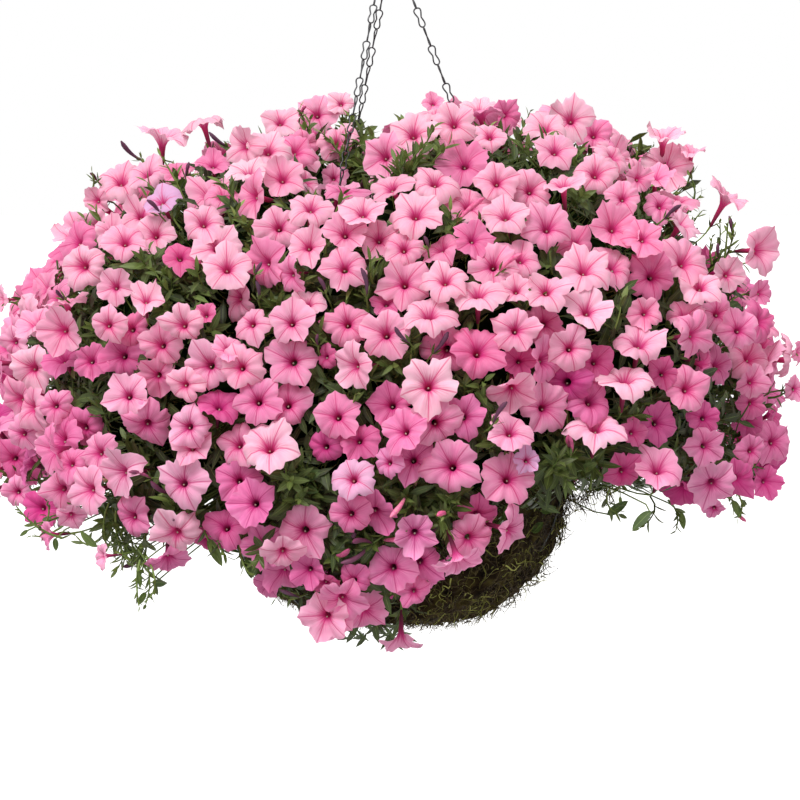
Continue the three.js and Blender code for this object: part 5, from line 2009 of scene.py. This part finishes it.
# curly fibres, most lying on the bed and some standing off it
def addMossStrands(settings):
    s = settings
    count = s["strands"]
    steps = 7
    azimuth = rng.uniform(0, fullTurn, count)
    elevation = np.arcsin(rng.uniform(-1.0, 0.3, count))
    base = mossPoint(azimuth, elevation, rng.uniform(-3, 6, count) * mm * mossShare(azimuth, elevation))
    patches = np.repeat(np.array(s["wisps"], float), s["perWisp"], axis=0)
    spot = rng.normal(0, 0.5, (len(patches), 2)) * patches[:, 2:]
    px, py = patches[:, 0] + spot[:, 0], patches[:, 1] + spot[:, 1]
    away = cameraSettings["distance"] + rng.uniform(*s["wispDepth"], len(patches)) * mm
    beside = atDistance(px, py, away)
    base = np.concatenate([base, beside])
    count = len(base)
    out = unit(base - mossCentre)
    flat = unit(np.cross(out, rng.normal(size=out.shape)))
    across = np.cross(out, flat)
    full = np.concatenate([mossShare(azimuth, elevation), np.ones(len(patches))])
    stray = (rng.uniform(size=count) < s["stray"] * full) | (np.arange(count) >= s["strands"])
    rise = np.where(stray, rng.uniform(0.35, 1.0, count), rng.uniform(-0.05, 0.3, count)) * (1.3 * full - 0.3)
    long = rng.uniform(*s["length"], count) * mm * np.where(stray, 0.85, 1) * (0.5 + 0.5 * full)
    t = np.linspace(0, 1, steps)[None, :]
    curl = np.where(stray, rng.uniform(1.3, 2.4, count), rng.uniform(0.8, 3.2, count))[:, None]
    phase = rng.uniform(0, 6.28, (count, 1))
    swing = long[:, None] * rng.uniform(0.08, 0.26, (count, 1)) * np.where(stray, 1.6, 1)[:, None]
    risen = (rise * long)[:, None] * t * (1.3 - 0.5 * t)
    risen = risen + swing * 0.5 * np.cos(curl * 3 * t + phase) * t
    lines = (
        base[:, None]
        + flat[:, None] * (long[:, None] * t)[..., None]
        + out[:, None] * risen[..., None]
        + across[:, None] * (swing * np.sin(curl * 3.4 * t + phase) - swing * np.sin(phase))[..., None]
        - np.array([0, 0, 1.0]) * (0.25 * long[:, None] * t ** 2)[..., None]
    )
    along = unit(np.gradient(lines, axis=1))
    side = unit(np.cross(along, out[:, None] + 0.5 * rng.normal(size=(count, 1, 3))))
    overSoil = np.hypot(base[:, 0], base[:, 1]) < s["openRadius"]
    overSoil &= base[:, 2] > rimHeight - s["soilDepth"]
    wide = rng.uniform(0.6, 1.7, (count, 1)) * mm * (1.05 - 0.85 * t ** 2)
    points = np.stack([lines - side * wide[..., None] / 2, lines + side * wide[..., None] / 2], axis=2)
    patch = 0.5 + 0.5 * sum(np.sin(out @ wave + phase) for wave, phase, _ in mossLumps[:3]) / 3
    shade = np.clip(rng.beta(1.5, 3.0, count) + np.where(stray, 0.24, 0) + 0.3 * (patch - 0.4), 0, 1)
    points, tint, count = points[~overSoil], tints(shade)[~overSoil], (~overSoil).sum()
    tint = np.broadcast_to(tint[:, None, None, :], (count, steps, 2, 4))
    place = np.stack(np.broadcast_arrays(np.array([0.0, 1.0])[None, :], t[0][:, None]), -1)
    place = np.broadcast_to(place[None], (count,) + place.shape)
    quads = gridQuads(steps, 2, count, False)
    maps = {"OFBake": tiled(place, count)}
    return buildPiece("moss_strands", points, quads, mossStrand, maps, {"tint": tint})


addMossBed()
addMossStrands(mossSettings)
print("moss built")


# chains

chainSettings = {
    "ringRadius": 12 * mm,
    "ringWire": 1.75 * mm,
    "gap": 0.3 * mm,
    "linkWire": 0.8 * mm,
    "halfWidth": 7.1 * mm,
    "waist": 0.25,
    "bite": 0.3 * mm,
    "pitch": 21 * mm,
    "rimHookLength": 12 * mm,
    "rimHookRadius": 3.9 * mm,
    "rimHookWire": 1.1 * mm,
    "rimRadius": 203 * mm,
    "sides": 8,
    "steps": 28,
}
ringLow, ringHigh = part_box("gather_ring")
ringCentre = (ringLow.z + ringHigh.z) / 2


def addChain(name, azimuth, ringX, settings):
    s = settings
    top = np.array([ringX, 0, ringCentre - math.sqrt(s["ringRadius"] ** 2 - ringX ** 2)])
    foot = np.array([s["rimRadius"] * math.cos(azimuth), s["rimRadius"] * math.sin(azimuth), rimHeight])
    length = np.linalg.norm(foot - top)
    down = (foot - top) / length
    start = s["ringWire"] + s["gap"] + s["linkWire"]
    end = s["rimHookLength"] + s["rimHookRadius"] - s["rimHookWire"] - s["gap"] - s["linkWire"]
    bite = 2 * s["linkWire"] - s["bite"]
    count = round((length + start - end - bite) / s["pitch"])
    pitch = (length + start - end - bite) / count
    ringSide = unit(np.array([0, 1, 0]) - down * down[1])
    rimSide = np.array([-math.sin(azimuth), math.cos(azimuth), 0])
    across = np.cross(down, ringSide)
    quarter = math.pi / 2
    fullTwist = math.atan2(rimSide @ across, rimSide @ ringSide) - quarter * (count - 1)
    twist = (fullTwist - math.pi * round(fullTwist / math.pi)) / (count - 1)
    turn = np.arange(s["steps"]) * 2 * math.pi / s["steps"]
    halfLength = (pitch + bite) / 2 - s["linkWire"]
    loops = []
    for i in range(count):
        wide = ringSide * math.cos(i * (quarter + twist)) + across * math.sin(i * (quarter + twist))
        centre = top + down * (pitch * (i + 0.5) + bite / 2 - start)
        narrow = s["waist"] + (1 - s["waist"]) * np.abs(np.sin(turn)) ** 1.3
        x = s["halfWidth"] * 0.92 * np.cos(turn) * narrow * (1 + 0.14 * np.sin(turn))
        y = halfLength * np.sin(turn)
        bend = 0.5 * mm * np.sin(2 * turn)
        normal = np.cross(wide, -down)
        loops.append(centre + x[:, None] * wide - y[:, None] * down + bend[:, None] * normal)
    lines = np.array(loops)
    along = unit(np.roll(lines, -1, 1) - np.roll(lines, 1, 1))
    middle = lines.mean(axis=1, keepdims=True)
    outward = unit(lines - middle)
    first = unit(np.cross(along, np.cross(outward, along)) + 1e-9)
    second = np.cross(along, first)
    ring = np.arange(s["sides"]) * 2 * math.pi / s["sides"]
    tube = first[:, :, None] * np.cos(ring)[:, None] + second[:, :, None] * np.sin(ring)[:, None]
    points = lines[:, :, None] + tube * s["linkWire"]
    steps, sides = s["steps"], s["sides"]
    a, b = np.meshgrid(np.arange(steps), np.arange(sides), indexing="ij")
    nextA, nextB = (a + 1) % steps, (b + 1) % sides
    one = np.stack([a * sides + b, a * sides + nextB, nextA * sides + nextB, nextA * sides + b], -1)
    one = one.reshape(-1, 4)
    quads = (one[None] + (np.arange(count) * steps * sides)[:, None, None]).reshape(-1, 4)
    return buildPiece(f"{name}_links", points, quads, chainSteel, replaced=(name,))


# degrees round the rim, and how far from the ring's lowest point each hooks in
for name, degrees, ringX in (
    ("chain_right", 0, 5.6 * mm),
    ("chain_rear", 120, 0.9 * mm),
    ("chain_front", 240, -6.5 * mm),
):
    addChain(name, math.radians(degrees), ringX, chainSettings)


def dressNodes(prefixes, material):
    for name, piece in nodes.items():
        if name.startswith(prefixes):
            piece.data.materials.clear()
            piece.data.materials.append(material)


dressNodes(("hanging_hook", "gather_ring", "rim_hook_"), chainSteel)
dressNodes(("rim_wire", "upper_hoop", "lower_hoop", "base_ring", "rib_"), paintedWire)
dressNodes(("potting_soil",), soilMix)
dressNodes(tuple(f"{plant}_plant_stem_foot" for plant in ("back", "left", "front")), footBark)
print("chains and wires dressed")


# floor, light and background

floorSettings = {"half": 40.0, "height": -1.9, "shade": 0.86}


def addFloor(settings):
    material, tree = newMaterial("pale_floor")
    shade = settings["shade"]
    solid = node(tree, "BsdfPrincipled", None, Base_Color=(shade, shade, shade, 1), Roughness=0.9)
    node(tree, "OutputMaterial", None, i0=solid.outputs[0])
    mesh = bpy.data.meshes.new("floor")
    half, height = settings["half"], settings["height"]
    corners = [(x * half, y * half, height) for x, y in ((-1, -1), (1, -1), (1, 1), (-1, 1))]
    mesh.from_pydata(corners, [], [(0, 1, 2, 3)])
    mesh.materials.append(material)
    floor = bpy.data.objects.new("floor", mesh)
    floor.visible_diffuse = False  # no glow from below
    bpy.context.scene.collection.objects.link(floor)


lightSettings = {"sun": 3.3, "sunAngle": 40, "from": (-0.32, -0.62, 0.95), "above": 0.85, "below": 0.7}


def addLight(settings):
    s = settings
    data = bpy.data.lights.new("soft_sun", "SUN")
    data.energy = s["sun"]
    data.angle = math.radians(s["sunAngle"])
    sun = bpy.data.objects.new("soft_sun", data)
    bpy.context.scene.collection.objects.link(sun)
    sun.rotation_euler = Vector(s["from"]).to_track_quat("Z", "Y").to_euler()
    world = bpy.data.worlds.new("studio")
    world.use_nodes = True
    bpy.context.scene.world = world
    tree = world.node_tree
    tree.nodes.clear()
    way = node(tree, "TexCoord").outputs["Generated"]
    height = node(tree, "SeparateXYZ", None, i0=way).outputs[2]
    strength = spread(tree, height, -0.3, 0.8, s["below"], s["above"])
    seen = node(tree, "LightPath").outputs["Is Camera Ray"]
    soft = node(tree, "Background", None, i0=(1.0, 0.99, 0.98, 1), i1=strength)
    white = node(tree, "Background", None, i0=(1, 1, 1, 1), i1=1.0)
    both = node(tree, "MixShader", None, i0=seen, i1=soft.outputs[0], i2=white.outputs[0])
    node(tree, "OutputWorld", None, i0=both.outputs[0])


addFloor(floorSettings)
addLight(lightSettings)
bpy.context.scene.view_settings.view_transform = "Standard"
bpy.context.scene.view_settings.look = "None"

meshes = [piece for piece in bpy.data.objects if piece.type == "MESH"]
pieces = [piece for piece in meshes if piece.name not in nodes and piece.name != "floor"]
sizes = {piece.name: sum(len(p.vertices) - 2 for p in piece.data.polygons) for piece in pieces}
print("triangles added:", sum(sizes.values()), "biggest piece:", max(sizes.items(), key=lambda item: item[1]))
